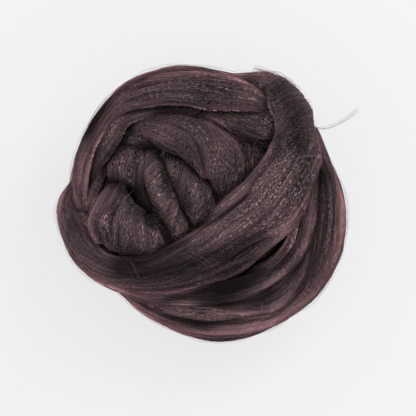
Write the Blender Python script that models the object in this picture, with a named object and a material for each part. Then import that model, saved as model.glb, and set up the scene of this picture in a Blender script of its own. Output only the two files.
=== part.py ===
"""A ball of combed wool roving, wound loosely by hand from one long flat strand.

The strand is soft and lies in broad bands. Outer bands run round the ball, one wide band
crosses the top from corner to corner, and short plump folds fill the nest that is left open
beside it. The ball is one solid: each band is laid as a crowned strip along its own path, the
strips are felted onto a core, and the underside is pressed flat where the ball rests.

The origin is on the resting face, under the middle of the ball's outline, and +Z is up. Tables
and sizes are in millimetres.
"""

import math
from collections import namedtuple

import bmesh
import bpy
from mathutils import Vector

MM = 0.001

# The ball that the bands lie on: half sizes across, and up and down from its middle.
BALL_HALF_X = 79.0
BALL_HALF_Y = 76.0
BALL_HALF_Z = 52.0
MIDDLE_HEIGHT = 46.0

# The core under the bands, and the bed that the folds of the nest lie on.
CORE_MIDDLE = (3.0, -1.0, 36.0)
CORE_HALF = (67.0, 65.0, 37.5)
BED_MIDDLE = (-8.0, 8.0, 52.0)
BED_HALF = (52.0, 46.0, 21.0)

# How finely a band is drawn, before the strips are felted together.
STEP = 5.0
CROWN_SIDES = 12
CROWN_FULLNESS = 0.8  # 1 for a plain ellipse, less for fuller edges
END_SHARES = (0.4, 0.75)  # the first sections of a band, and the last, are this much smaller

# How a band is rooted: towards a ring inside the ball, getting narrower.
ROOT_DEPTH = 24.0
ROOT_SHARE = 0.45
ROOT_RING = 0.8  # the ring's distance from the middle, as a share of the band's
ROOT_RING_HEIGHT = 36.0

# The felted skin.
FELT_CELL = 1.9
SKIN_TRIANGLES = 9600

# The turns under the ball.
UNDER_WIDTH = 27.0
UNDER_THICK = 12.0
UNDER_HALF_X = 71.5
UNDER_HALF_Y = 69.5
UNDER_FALL = 48.0  # how far they reach below the ball's middle, pressed flat at the floor
UNDER_RISE = 12.0  # how far they rise above it, hidden by the top bands
UNDER_POINTS = 36

WOOL_COLOUR = (0.062, 0.036, 0.039, 1.0)
WOOL_ROUGHNESS = 0.8

# x, y and z are a point on the band's crest. Width is across the band, and thick is how far its
# rounded edges lie below the crest, doubled. Tip turns its face up from the slope of the ball, in
# degrees.
Station = namedtuple("Station", "x y z width thick tip", defaults=[0])

RIM_BANDS = {
    "rim": [
        Station(-63, -14, 62, 10, 8),
        Station(-67, -2, 68, 12, 9),
        Station(-67.5, 11, 72, 14, 10),
        Station(-66, 23, 75, 15, 10),
        Station(-62, 35, 77, 17, 11),
        Station(-54.5, 47, 79, 19, 12),
        Station(-45, 55.5, 80, 22, 12),
        Station(-33, 61.5, 81, 25, 13),
        Station(-17, 64.5, 82, 28, 14),
        Station(2, 62.5, 83, 30, 14),
        Station(20, 60.5, 83, 28, 13),
        Station(34, 55, 81, 22, 12),
        Station(44, 46.5, 76, 15, 10),
        Station(50, 37, 70, 10, 8),
    ],
    "rim_under": [
        Station(-46, -44, 22, 12, 8),
        Station(-60, -34, 32, 13, 9),
        Station(-69, -18, 42, 13, 9),
        Station(-72.5, 0, 50, 14, 9),
        Station(-71, 19, 56, 14, 9),
        Station(-66.2, 34.8, 60, 15, 10),
        Station(-58.4, 49, 62, 16, 10),
        Station(-49.6, 59.1, 63, 17, 10),
        Station(-38.8, 67.1, 64, 18, 10),
        Station(-26.2, 71.9, 64, 18, 10),
        Station(-13.2, 74.6, 64, 18, 10),
        Station(0, 74.8, 63, 18, 10),
        Station(12.7, 71.9, 61, 17, 10),
        Station(27.3, 67.7, 57, 15, 9),
        Station(42, 57, 50, 14, 9),
        Station(54, 44, 42, 12, 8),
    ],
    "rim_inner": [
        Station(-57, -12, 58, 8, 7),
        Station(-59, -3, 66, 10, 8),
        Station(-58.5, 9, 70, 13, 9),
        Station(-56.5, 21, 73, 16, 10),
        Station(-51, 32, 75, 18, 10),
        Station(-43.5, 41, 76, 17, 10),
        Station(-33, 46.5, 75, 15, 9),
        Station(-21, 49, 72, 13, 9),
        Station(-8, 49.5, 67, 11, 8),
        Station(6, 49, 58, 9, 8),
    ],
    "rim_bed": [
        Station(-60, 8, 52, 20, 8),
        Station(-54, 27, 61, 26, 9),
        Station(-42, 40, 67, 30, 9),
        Station(-24, 48, 70, 32, 9),
        Station(-2, 50, 71, 32, 9),
        Station(20, 48, 72, 32, 9),
        Station(38, 42, 73, 30, 9),
        Station(50, 30, 68, 26, 9),
    ],
    "shoulder": [
        Station(5, 66, 56, 9, 8),
        Station(20, 68.5, 62, 10, 9),
        Station(33, 69, 64, 11, 9),
        Station(45, 65.5, 62, 12, 10),
        Station(54, 58, 58, 12, 10),
        Station(60, 48, 56, 11, 9),
        Station(63, 36, 54, 9, 8),
    ],
}

NEST_FOLDS = {
    "fan": [
        Station(-44, 37, 62, 6, 7),
        Station(-35.5, 41.5, 73, 11, 10),
        Station(-25, 41, 80, 19, 13),
        Station(-13.5, 37, 85, 26, 15),
        Station(-3, 32.5, 88, 30, 17),
        Station(5, 26.5, 88, 30, 17),
        Station(11, 18.5, 85, 26, 16),
        Station(14.5, 10, 80, 21, 14),
        Station(16, 0, 70, 16, 11),
    ],
    "fan_lip": [
        Station(-46, 29, 62, 5, 6),
        Station(-41, 34, 71, 7, 8),
        Station(-34, 35.5, 75, 8, 8),
        Station(-27, 33.5, 74, 6, 8),
        Station(-20, 29, 66, 4, 6),
    ],
    "left_fold": [
        Station(-54, 21, 58, 14, 8),
        Station(-49, 20.5, 70, 17, 11),
        Station(-43.5, 19, 76, 19, 13),
        Station(-38.5, 12, 76, 17, 12),
        Station(-33, 2, 71, 14, 11),
        Station(-28, -9, 63, 11, 10),
        Station(-24, -18, 54, 8, 8),
    ],
    "middle_fold": [
        Station(-34, 35, 62, 6, 8),
        Station(-31, 27, 74, 9, 10),
        Station(-27.5, 18, 80, 12, 13),
        Station(-24, 9, 83, 13, 14),
        Station(-20, 0, 83, 13, 14),
        Station(-16, -8.5, 81, 13, 14),
        Station(-12, -16, 77, 12, 13),
        Station(-8, -25, 68, 10, 11),
    ],
    "middle_fold_end": [
        Station(-19, 4, 76, 4, 7),
        Station(-16, -4, 84, 8, 10),
        Station(-13.5, -11, 86, 11, 12),
        Station(-11, -18, 81, 11, 12),
        Station(-8, -26, 68, 9, 10),
    ],
    "right_fold": [
        Station(-22, 31, 64, 6, 7),
        Station(-17, 22, 76, 11, 10),
        Station(-11.5, 14, 81, 15, 13),
        Station(-6, 6, 83, 18, 14),
        Station(-2, -2, 82, 18, 13),
        Station(1, -9, 78, 15, 12),
        Station(4, -17, 66, 12, 10),
    ],
    "low_fold": [
        Station(-52, 17, 60, 14, 9),
        Station(-51.5, 10, 72, 19, 12),
        Station(-49.5, 2, 80, 27, 15),
        Station(-47, -6, 84, 33, 17),
        Station(-44, -14, 84, 38, 17),
        Station(-40.5, -22, 80, 41, 16),
        Station(-36.5, -30, 73, 40, 14),
        Station(-32, -38, 62, 34, 12),
    ],
    "back_fold": [
        Station(24, 60, 70, 30, 9),
        Station(24, 51, 78, 38, 12),
        Station(24.5, 43, 80, 36, 12),
        Station(25.5, 37, 75, 31, 11),
        Station(26, 32, 66, 26, 9),
    ],
    "corner_fold": [
        Station(25, 39, 62, 8, 8),
        Station(27.5, 33, 70, 11, 9),
        Station(30, 26, 75, 12, 10),
        Station(32, 18, 75, 12, 10),
        Station(33, 10, 68, 10, 8),
    ],
}

CROSSING_BANDS = {
    "crossing": [
        Station(12, 30, 10, 20, 10),
        Station(18, 43, 6, 22, 10),
        Station(26, 58, 15, 23, 11),
        Station(34, 68.5, 31, 24, 11),
        Station(42.5, 71.5, 50, 25, 12),
        Station(47.8, 66.3, 69, 26, 13),
        Station(51.3, 56.7, 82, 26, 14),
        Station(52.6, 45.2, 90, 26, 14),
        Station(51.5, 32.5, 95.5, 27, 14),
        Station(47.5, 17.5, 98.5, 26, 14),
        Station(40, 3.5, 100, 25, 14),
        Station(29.5, -8, 100, 23, 14),
        Station(15.5, -19, 98, 22, 14),
        Station(0, -27, 94, 21, 13),
        Station(-15, -34, 89, 19, 13),
        Station(-31, -39, 83, 17, 12),
        Station(-45, -40, 77, 17, 12),
        Station(-57, -35, 72, 20, 12),
        Station(-65.5, -25, 67, 21, 12, 5),
        Station(-70.5, -12, 63, 20, 11, 10),
        Station(-73, 1, 57, 17, 10, 8),
        Station(-72, 14, 47, 16, 10),
        Station(-66, 27, 37, 16, 10),
        Station(-56, 38, 27, 16, 10),
        Station(-43, 46, 18, 16, 10),
    ],
    "crossing_lip": [
        Station(-5, -17, 78, 3, 5),
        Station(3, -10.5, 88, 6, 7),
        Station(10, -5.5, 93, 9, 9),
        Station(17, 0.5, 96.5, 11, 10),
        Station(24.5, 8, 99, 12, 11),
        Station(31.5, 16, 99.5, 12, 11),
        Station(37.5, 26, 98, 12, 11),
        Station(42.5, 36, 94, 12, 10),
        Station(46, 47, 88, 11, 10),
        Station(49, 57, 78, 9, 9),
    ],
    "crossing_skirt": [
        Station(62, 40, 72, 7, 8),
        Station(64, 28, 82, 9, 9),
        Station(61.5, 14, 88, 11, 11),
        Station(56.5, -1, 90.5, 12, 12),
        Station(49.5, -13, 90, 13, 12),
        Station(40.5, -22, 89, 14, 12),
        Station(29, -29.5, 87.5, 14, 12),
        Station(16, -35.5, 85.5, 13, 12),
        Station(2, -40.5, 83, 11, 11),
        Station(-12, -44.5, 80, 10, 10),
        Station(-27, -46.5, 75, 9, 9),
        Station(-43, -45.5, 69, 9, 9),
        Station(-58.5, -42, 61, 11, 9),
        Station(-69, -34, 56, 14, 10, 5),
        Station(-77, -21.5, 52, 17, 10, 8),
        Station(-79.7, -8, 50, 19, 11, 8),
        Station(-79, 2, 49, 17, 10, 5),
        Station(-73, 12, 46, 12, 8),
        Station(-65, 21, 42, 8, 7),
    ],
    "crossing_hem": [
        Station(54, -4, 82, 5, 7),
        Station(51.5, -13.5, 84.5, 6, 8),
        Station(48, -21, 83, 7, 8),
        Station(42.5, -27.5, 79.5, 6, 8),
        Station(35, -32.5, 75, 5, 7),
        Station(26, -37, 68, 4, 6),
    ],
}

OUTER_BANDS = {
    "drape_upper": [
        Station(65, 23, 77, 6, 8),
        Station(63.5, 9, 80, 8, 10),
        Station(60.5, -5, 81, 10, 11),
        Station(57.5, -16, 79, 12, 12),
        Station(52, -27, 76, 14, 12),
        Station(44, -36, 72, 15, 12),
        Station(33, -43.5, 67, 16, 12, 5),
        Station(20, -48.5, 62, 16, 11, 10),
        Station(5, -51.5, 58, 15, 10, 15),
        Station(-12, -53, 54, 12, 9, 18),
    ],
    "drape_lower": [
        Station(64.5, -8, 70, 5, 7),
        Station(62, -20, 72, 8, 9),
        Station(58, -31, 70, 11, 10),
        Station(52.5, -40.5, 67, 13, 11, 5),
        Station(45, -48.5, 63, 14, 11, 10),
        Station(35, -55, 58, 15, 11, 16),
        Station(22, -59.5, 54, 15, 10, 22),
        Station(6, -61, 51, 14, 9, 26),
        Station(-10, -60.5, 49, 12, 8, 28),
    ],
    "drape_edge": [
        Station(63.5, -24, 62, 4, 6),
        Station(61.5, -36, 63, 6, 7, 8),
        Station(57.5, -46, 61, 7, 8, 12),
        Station(51, -55, 57, 8, 8, 18),
        Station(41.5, -61.5, 53, 8, 8, 22),
        Station(29, -65.5, 50, 7, 8, 25),
        Station(14, -67.5, 47, 6, 7, 28),
    ],
    "inner_layer": [
        Station(-47, -43, 48, 12, 8, 15),
        Station(-30, -50, 54, 17, 9, 22),
        Station(-12, -53, 57, 21, 10, 26),
        Station(8, -53.5, 59, 23, 10, 28),
        Station(26, -50, 61, 23, 10, 25),
        Station(42, -42, 63, 20, 10, 18),
        Station(55, -30, 65, 16, 10, 8),
        Station(63, -14, 65, 12, 8),
        Station(66, 4, 62, 10, 8),
    ],
    "outer_upper": [
        Station(62, 37, 70, 12, 10),
        Station(67, 24, 74, 17, 11),
        Station(70, 9, 73, 19, 12),
        Station(71, -7, 71, 20, 12),
        Station(69.5, -23, 67, 20, 12, 5),
        Station(65.5, -38, 62, 20, 12, 12),
        Station(58, -51, 57, 21, 11, 18),
        Station(47, -60.5, 53, 21, 10, 24),
        Station(33, -66, 50, 22, 10, 27),
        Station(15, -67.5, 49, 23, 10, 30),
        Station(-4, -65.5, 49, 24, 10, 30),
        Station(-20, -60, 50, 22, 10, 30),
        Station(-34, -52.5, 50, 19, 9, 28),
        Station(-47, -44.5, 49, 14, 8, 20),
    ],
    "outer_edge": [
        Station(48, 52, 52, 11, 9),
        Station(62.4, 36, 56, 12, 9),
        Station(71.4, 26, 54, 14, 10),
        Station(76.8, 13.5, 51, 15, 11),
        Station(80, 0, 49, 16, 11),
        Station(80.6, -14.2, 48, 16, 11),
        Station(78.5, -28.6, 46, 16, 11),
        Station(72.3, -41.8, 45, 15, 11),
        Station(63.4, -53.2, 44, 15, 11),
        Station(51.9, -61.9, 43, 14, 10),
        Station(40, -69.3, 42, 14, 10),
        Station(27.4, -75.2, 41, 14, 10),
        Station(13.6, -77.3, 40, 14, 10),
        Station(0, -76.2, 40, 14, 10),
        Station(-12.8, -72.4, 40, 14, 10),
        Station(-24.5, -67.3, 41, 13, 10),
        Station(-35.3, -61.1, 42, 13, 10),
        Station(-44.4, -52.9, 42, 13, 10),
        Station(-54.5, -43.5, 41, 13, 10),
        Station(-65, -31, 40, 14, 10),
        Station(-72.5, -15, 38, 15, 10),
        Station(-74, 3, 36, 15, 10),
        Station(-70, 21, 34, 15, 10),
        Station(-61, 37, 31, 14, 10),
        Station(-48, 50, 28, 13, 9),
    ],
}

# Turns that pass under the ball. Each slopes down towards one side, by slope degrees from level,
# lies shift from the middle plane, and is lifted off the turns below it by lift.
UnderTurn = namedtuple("UnderTurn", "name towards slope shift lift")
UNDER_TURNS = [
    UnderTurn("under_turn_1", 20, 84, 6, 1),
    UnderTurn("under_turn_2", 112, 70, -8, 3.5),
    UnderTurn("under_turn_3", 160, 26, 4, 2),
    UnderTurn("under_turn_4", 215, 44, -6, 0),
    UnderTurn("under_turn_5", 300, 32, 4, 3),
    UnderTurn("under_turn_6", 345, 52, -6, 1),
    UnderTurn("under_turn_7", 60, 38, 3, 3.5),
    UnderTurn("under_turn_8", 255, 62, 9, 2.5),
    UnderTurn("under_turn_9", 95, 18, -2, 1),
    UnderTurn("under_turn_10", 240, 20, 5, 1.5),
    UnderTurn("under_turn_11", 10, 28, -5, 4),
    UnderTurn("under_turn_12", 165, 58, 12, 1.5),
    UnderTurn("under_turn_13", 35, 66, 20, 2),
]


def clear_scene():
    for old in list(bpy.data.objects):
        bpy.data.objects.remove(old, do_unlink=True)


def facing(row):
    """The way that a band's face looks: square to the ball's surface, and then tipped up."""
    level = Vector((row.x / BALL_HALF_X**2, row.y / BALL_HALF_Y**2))
    slope = math.atan2(level.length, (row.z - MIDDLE_HEIGHT) / BALL_HALF_Z**2)
    slope -= math.radians(row.tip)
    level = level.normalized() * math.sin(slope)
    return Vector((level.x, level.y, math.cos(slope)))


def smooth_path(stations, step):
    """Rows of Station along a smooth curve through the stations, about step apart."""
    rows = []
    last = len(stations) - 1
    for i in range(last):
        before, here = stations[max(i - 1, 0)], stations[i]
        there, after = stations[i + 1], stations[min(i + 2, last)]
        span = math.dist(here[:3], there[:3])
        pieces = max(1, round(span / step))
        for k in range(pieces):
            t = k / pieces
            rows.append(
                Station(
                    *(
                        0.5
                        * (
                            2 * b
                            + (c - a) * t
                            + (2 * a - 5 * b + 4 * c - d) * t**2
                            + (3 * b - a - 3 * c + d) * t**3
                        )
                        for a, b, c, d in zip(before, here, there, after)
                    )
                )
            )
    rows.append(stations[-1])
    return rows


def section(row, side, out, share):
    """A band's cross-section as points round it: a crown, and a narrower root below."""
    crest = Vector((row.x, row.y, row.z))
    half_width = row.width / 2 * share
    ring = []
    for i in range(CROWN_SIDES + 1):
        turn = math.pi * i / CROWN_SIDES
        across = math.copysign(abs(math.cos(turn)) ** CROWN_FULLNESS, math.cos(turn))
        ring.append(
            crest
            + side * (half_width * across)
            + out * (row.thick / 2 * (math.sin(turn) - 1))
        )
    ring_point = Vector((row.x * ROOT_RING, row.y * ROOT_RING, ROOT_RING_HEIGHT))
    foot = crest + (ring_point - crest).normalized() * ROOT_DEPTH
    spread = side * (half_width * ROOT_SHARE)
    ring += [foot - spread, foot + spread]
    return ring


def lay_strip(mesh, rows):
    """Adds one closed strip that follows the rows to mesh."""
    rings = []
    for i, row in enumerate(rows):
        ahead, behind = rows[min(i + 1, len(rows) - 1)], rows[max(i - 1, 0)]
        along = (Vector(ahead[:3]) - Vector(behind[:3])).normalized()
        out = facing(row)
        side = along.cross(out).normalized()
        out = side.cross(along).normalized()
        from_end = min(i, len(rows) - 1 - i)
        share = END_SHARES[from_end] if from_end < len(END_SHARES) else 1.0
        ring = section(row, side, out, share)
        rings.append([mesh.verts.new(point * MM) for point in ring])
    around = len(rings[0])
    for first, second in zip(rings, rings[1:]):
        for k in range(around):
            n = (k + 1) % around
            mesh.faces.new((first[k], first[n], second[n], second[k]))
    mesh.faces.new(reversed(rings[0]))
    mesh.faces.new(rings[-1])


def under_turn_rows(turn):
    """A slanting turn round the ball, as rows of Station. Its upper half runs under the top bands."""
    towards, slope = math.radians(turn.towards), math.radians(turn.slope)
    level = Vector((-math.sin(towards), math.cos(towards), 0))
    downhill = Vector(
        (
            math.cos(towards) * math.cos(slope),
            math.sin(towards) * math.cos(slope),
            -math.sin(slope),
        )
    )
    pole = level.cross(downhill)
    half = Vector((UNDER_HALF_X, UNDER_HALF_Y, UNDER_FALL)) + Vector((1, 1, 1)) * turn.lift
    rows = []
    for k in range(UNDER_POINTS + 1):
        angle = 2 * math.pi * k / UNDER_POINTS
        way = (
            level * math.sin(angle)
            - downhill * math.cos(angle)
            + pole * turn.shift / UNDER_HALF_X
        ).normalized()
        rows.append(
            Station(
                CORE_MIDDLE[0] + way.x * half.x,
                CORE_MIDDLE[1] + way.y * half.y,
                MIDDLE_HEIGHT + way.z * (UNDER_RISE if way.z > 0 else half.z),
                UNDER_WIDTH,
                UNDER_THICK,
            )
        )
    return smooth_path(rows, STEP)


def lay_ellipsoid(mesh, middle, half):
    """Adds a rounded body to mesh."""
    ball = bmesh.ops.create_icosphere(mesh, subdivisions=4, radius=1.0)
    for vert in ball["verts"]:
        place = [way * size + centre for way, size, centre in zip(vert.co, half, middle)]
        vert.co = Vector(place) * MM


def lay_core(mesh):
    lay_ellipsoid(mesh, CORE_MIDDLE, CORE_HALF)
    lay_ellipsoid(mesh, BED_MIDDLE, BED_HALF)


def wool_material():
    wool = bpy.data.materials.new("wool")
    wool.use_nodes = True
    shader = wool.node_tree.nodes["Principled BSDF"]
    shader.inputs["Base Color"].default_value = WOOL_COLOUR
    shader.inputs["Roughness"].default_value = WOOL_ROUGHNESS
    wool.diffuse_color = WOOL_COLOUR
    return wool


def floor_cutter():
    """A block whose top is the surface that the ball rests on."""
    size = 4 * BALL_HALF_X * MM
    block = bpy.data.meshes.new("floor_cutter")
    mesh = bmesh.new()
    bmesh.ops.create_cube(mesh, size=size)
    bmesh.ops.translate(mesh, verts=mesh.verts, vec=(0, 0, -size / 2))
    mesh.to_mesh(block)
    mesh.free()
    cutter = bpy.data.objects.new("floor_cutter", block)
    bpy.context.scene.collection.objects.link(cutter)
    cutter.hide_render = True
    cutter.display_type = "WIRE"
    return cutter


def shells(mesh):
    """The mesh's vertices in lists, one for each closed shell, the widest shell first."""
    left = set(mesh.verts)
    found = []
    while left:
        shell = [left.pop()]
        for vert in shell:
            for edge in vert.link_edges:
                other = edge.other_vert(vert)
                if other in left:
                    left.remove(other)
                    shell.append(other)
        found.append(shell)
    return sorted(found, key=len, reverse=True)


def outer_skin(ball):
    """Gives the ball its evaluated mesh without the closed pockets and crumbs inside it."""
    bpy.context.view_layer.update()
    evaluated = ball.evaluated_get(bpy.context.evaluated_depsgraph_get())
    mesh = bmesh.new()
    mesh.from_mesh(evaluated.to_mesh())
    evaluated.to_mesh_clear()
    for shell in shells(mesh)[1:]:
        bmesh.ops.delete(mesh, geom=shell, context="VERTS")
    ball.modifiers.clear()
    mesh.to_mesh(ball.data)
    mesh.free()


def roving_ball():
    mesh = bmesh.new()
    lay_core(mesh)
    for bands in (RIM_BANDS, NEST_FOLDS, CROSSING_BANDS, OUTER_BANDS):
        for stations in bands.values():
            lay_strip(mesh, smooth_path(stations, STEP))
    for turn in UNDER_TURNS:
        lay_strip(mesh, under_turn_rows(turn))
    bmesh.ops.recalc_face_normals(mesh, faces=mesh.faces)
    data = bpy.data.meshes.new("roving_ball")
    mesh.to_mesh(data)
    mesh.free()
    ball = bpy.data.objects.new("roving_ball", data)
    bpy.context.scene.collection.objects.link(ball)
    ball.data.materials.append(wool_material())

    felt = ball.modifiers.new("felt", "REMESH")
    felt.mode = "VOXEL"
    felt.voxel_size = FELT_CELL * MM
    felt.use_smooth_shade = True
    outer_skin(ball)

    felted = sum(len(face.vertices) - 2 for face in ball.data.polygons)
    thin = ball.modifiers.new("thin", "DECIMATE")
    thin.ratio = SKIN_TRIANGLES / felted
    outer_skin(ball)

    press = ball.modifiers.new("press_flat", "BOOLEAN")
    press.operation = "DIFFERENCE"
    press.object = floor_cutter()
    outer_skin(ball)


clear_scene()
roving_ball()
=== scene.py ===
"""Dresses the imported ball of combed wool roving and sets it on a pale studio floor.

The wool lies in broad bands, where the CAD model has them. Each band is a finely drawn crowned
strip with locks and creases along it, and thousands of strands lie in its surface. The bands are
given by the edges that show from above. Tables are in millimetres, what is built is in metres, and
+Z is up.
"""

import math
from collections import namedtuple

import bmesh
import bpy
import numpy as np
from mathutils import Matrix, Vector
from mathutils.bvhtree import BVHTree


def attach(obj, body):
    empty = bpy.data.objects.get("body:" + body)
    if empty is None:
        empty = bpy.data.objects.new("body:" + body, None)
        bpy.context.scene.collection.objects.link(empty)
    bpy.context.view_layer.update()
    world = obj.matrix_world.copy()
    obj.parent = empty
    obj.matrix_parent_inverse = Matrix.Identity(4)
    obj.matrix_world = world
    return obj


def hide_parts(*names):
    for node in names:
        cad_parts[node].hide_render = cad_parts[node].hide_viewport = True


bl_info = {
    "name": "Wool roving ball",
    "version": (1, 0, 0),
    "blender": (4, 5, 0),
    "location": "3D View > Sidebar > Roving",
    "description": "Builds a loosely wound ball of combed wool roving, band by band",
    "category": "Add Mesh",
}

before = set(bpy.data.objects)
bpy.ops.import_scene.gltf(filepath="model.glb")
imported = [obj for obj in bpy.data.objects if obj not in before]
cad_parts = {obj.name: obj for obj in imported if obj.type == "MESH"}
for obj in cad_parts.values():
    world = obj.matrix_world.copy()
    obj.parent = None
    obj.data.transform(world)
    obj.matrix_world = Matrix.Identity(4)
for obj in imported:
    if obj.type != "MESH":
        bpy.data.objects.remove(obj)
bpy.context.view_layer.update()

MM = 0.001
BALL_NODE = "roving_ball"

# The ball that the bands lie on: half sizes across, and up and down from its middle.
BALL_HALF = (79.0, 76.0, 52.0)
MIDDLE_HEIGHT = 46.0

# The heart of the ball: the core under the bands, its girth, and the bed of the nest.
CORE_MIDDLE = (3.0, -1.0, 36.0)
CORE_HALF = (62.0, 60.0, 34.0)
BED_MIDDLE = (-8.0, 8.0, 52.0)
BED_HALF = (52.0, 46.0, 21.0)
GIRTH_MIDDLE = (4.0, -1.0, 43.0)
GIRTH_HALF = (66.0, 63.0, 25.0)
HEART_LIGHT = 1.2
HEART_FOOT = 0.9
HEART_DETAIL = 5
HEART_RADIUS = 0.06  # in metres, to lay its pattern round it

# How much of the paler edge colour wool shows where it stands on edge, as painted sheen, and where
# in a crown, from 0 at its middle to 1 at its edges, the edge colour starts, as painted light that
# passes the thin band edges.
PAINTED_EDGE_SHEEN = 0.7
EDGE_START = 0.72

# A band's section: a crown, and under it a narrower root that reaches into the ball.
CROWN_RISE = 1.2
ROOT_DEPTH = 24.0
ROOT_SHARE = 0.45
ROOT_RING = 0.8
ROOT_RING_HEIGHT = 36.0
ROOT_STEPS = (0.14, 0.4, 1.0)
ROOT_EASE = 0.7
ROOT_START = 2.0

# How the light that reaches a crevice is felt out. SHADE_FROM and SHADE_TO paint that share into
# the wool's colour as shade: darker in the crevices, and lighter again in the deepest ones, which
# lie in real shade already.
OPEN_RAYS = 26
OPEN_START = 0.5
OPEN_REACH = 20.0
OPEN_ASKEW = (0.31, 0.67, 0.59)
SHADE_FROM = (0.08, 0.3, 0.5, 0.75, 1.0)
SHADE_TO = (1.4, 0.7, 0.52, 0.8, 1.15)

# The colour that the wool turns to in deep shade.
SHADE_COLOUR = (0.064, 0.060, 0.066)

# How finely the bands are drawn: along them, and across a crown.
ROW_STEP = 1.3
COLUMN_STEP = 0.42
COLUMNS = (18, 76)
END_TAPER = 12.0
END_LEAST = 0.02

# How the surface wavers, and how long its locks, strands and fine ridges are, how sharp the valleys
# between them, and which part of them lies under the crown.
WAVER_DEPTH, WAVER_WIDTH, WAVER_LENGTH = 1.4, 9.0, 38.0
LOCK_LENGTH, LOCK_SHARPNESS, LOCK_SINK = 70.0, 0.7, 0.45
STRAND_LENGTH, STRAND_SHARPNESS, STRAND_SINK = 34.0, 0.8, 0.4
RIDGE_LENGTH, RIDGE_WIDTH, RIDGE_DEPTH = 16.0, 0.7, 0.05

# The turns under the ball, which lie in steps above the floor and are drawn more coarsely.
UNDER_COARSENESS = 2.1
UNDER_SHARE = 0.13
UNDER_LEVEL = 0.05
UNDER_STEP = 0.13
UNDER_SEED = 40
UNDER_HALF = (66.0, 64.0)
UNDER_FALL = 48.0
UNDER_RISE = -4.0
UNDER_WIDTH = 27.0
UNDER_THICK = 12.0
UNDER_POINTS = 36

# Where the camera stands, which also places the lines that the tables below give as seen from it.
CAMERA_PLACE = (3.9, -2.8, 1344.0)
SEEN_HEIGHT = 73.0

# x, y and z are a point on the band's crest. Width is across the band, and thick is how far its
# rounded edges lie below the crest, doubled. Tip turns its face up from the slope of the ball, and
# lean turns its fibres from the way the band runs, anticlockwise as seen from above, in degrees.
Station = namedtuple("Station", "x y z width thick tip lean", defaults=[0, 0])
WIDTH, THICK, TIP, LEAN = 3, 4, 5, 6  # their columns in a table of stations

# Where both edges of a band show: one edge at ax, ay and the other at bx, by, as seen from above,
# with its crest at z. stations_of works out the Station that shows so, round by round: each moves
# FIT_SPEED of the way, and its width stays within FIT_WIDTHS.
Edges = namedtuple("Edges", "ax ay bx by z thick tip lean", defaults=[0, 0])
FIT_ROUNDS = 40
FIT_SPEED = 0.5
FIT_POINTS = 41
FIT_WIDTHS = (1.5, 60.0)
FIT_LEAST = 0.1

RIM_BANDS = {
    "rim": [
        Edges(-69, -12, -60.5, -11, 60, 8),
        Edges(-70, -2, -62, -2, 66, 9),
        Edges(-71, 8, -62.5, 7, 71, 9),
        Edges(-70, 18, -61.5, 16.5, 74.5, 9),
        Edges(-66, 29.5, -59.5, 27, 77, 9),
        Edges(-62, 36.5, -57, 33, 78.5, 9),
        Edges(-57.5, 42, -53.5, 38.5, 79.5, 9),
        Edges(-53.5, 48.5, -49.5, 44.5, 80, 9),
        Edges(-49, 56, -43, 49, 80.5, 10),
        Edges(-42.5, 62.5, -36, 51.5, 81, 12),
        Edges(-33, 68, -28, 52.5, 81.5, 13),
        Edges(-20, 71.2, -18, 53.5, 82.5, 14),
        Edges(-8, 72.3, -7, 53, 83, 14),
        Edges(4, 71.5, 4, 50.5, 83, 14),
        Edges(14, 69.8, 14, 50, 83, 14),
        Edges(24, 66.2, 22.5, 49.8, 82.5, 13),
        Edges(32, 62, 30, 49.5, 81, 12),
        Edges(39, 57, 37, 48.5, 77, 10),
        Edges(46, 50, 42, 43, 70, 8),
    ],
    "rim_under": [
        Station(-46, -44, 22, 12, 8),
        Station(-60, -34, 32, 13, 9),
        Station(-69, -18, 42, 13, 9),
        Station(-72.5, 0, 50, 14, 9),
        Station(-71, 19, 56, 14, 9),
        Station(-66, 34.8, 60, 15, 10),
        Station(-58, 49, 62, 16, 10),
        Station(-49.3, 59, 63, 17, 10),
        Station(-38.5, 66.9, 64, 18, 10),
        Station(-26.2, 71.7, 64, 18, 10),
        Station(-13.2, 74.7, 64, 18, 10),
        Station(0, 74.2, 63, 18, 10),
        Station(12.7, 71.9, 61, 17, 10),
        Station(27.3, 68.5, 57, 15, 9),
        Station(42, 57, 50, 14, 9),
        Station(54, 44, 42, 12, 8),
    ],
    "rim_inner": [
        Edges(-63, -4, -58, -4, 56, 7),
        Edges(-63, 4, -57.5, 4, 62, 8),
        Edges(-63, 12, -56, 11, 66, 8),
        Edges(-62, 20, -55.5, 18.5, 70, 9),
        Edges(-60, 28, -51, 23.5, 73.5, 9),
        Edges(-57, 34, -47, 29, 76, 10),
        Edges(-53, 41, -44, 34.5, 77.5, 10),
        Edges(-48.5, 46.5, -41.5, 39.5, 78, 10),
        Edges(-42, 50.5, -37.5, 44, 77.5, 9),
        Edges(-34, 53, -31.5, 46, 75.5, 9),
        Edges(-24, 55, -23.5, 47.5, 73, 9),
        Edges(-12, 55, -13, 48, 70, 8),
        Edges(2, 53, 2, 47, 66, 8),
    ],
    "rim_tuck": [
        Edges(-53, 26, -49, 23, 60, 6),
        Edges(-56.5, 19, -52, 17.5, 67, 7),
        Edges(-59.5, 12, -54.5, 10, 70, 7),
        Edges(-62.5, 6, -57, 4, 70, 7),
        Edges(-65, 0, -59, -2, 67, 7),
        Edges(-66, -6, -61, -8, 60, 6),
    ],
    "rim_bed": [
        Station(-60, 8, 48, 20, 8),
        Station(-54, 27, 57, 26, 9),
        Station(-42, 40, 62, 28, 9),
        Station(-24, 48, 63, 30, 9),
        Station(-2, 50, 64, 30, 9),
        Station(20, 48, 65, 30, 9),
        Station(38, 42, 66, 28, 9),
        Station(50, 30, 62, 26, 9),
    ],
    "shoulder": [
        Edges(2, 74, 3, 66, 58, 9),
        Edges(13, 72.2, 12, 63, 63, 10),
        Edges(25, 71.6, 22, 60, 66, 11),
        Edges(36, 72, 32, 57, 67, 11),
        Edges(46, 68.5, 42, 54, 66, 11),
        Edges(55, 60, 50, 50, 62, 10),
        Edges(61, 48, 56, 42, 58, 9),
        Station(63, 36, 54, 9, 8),
    ],
}

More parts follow.
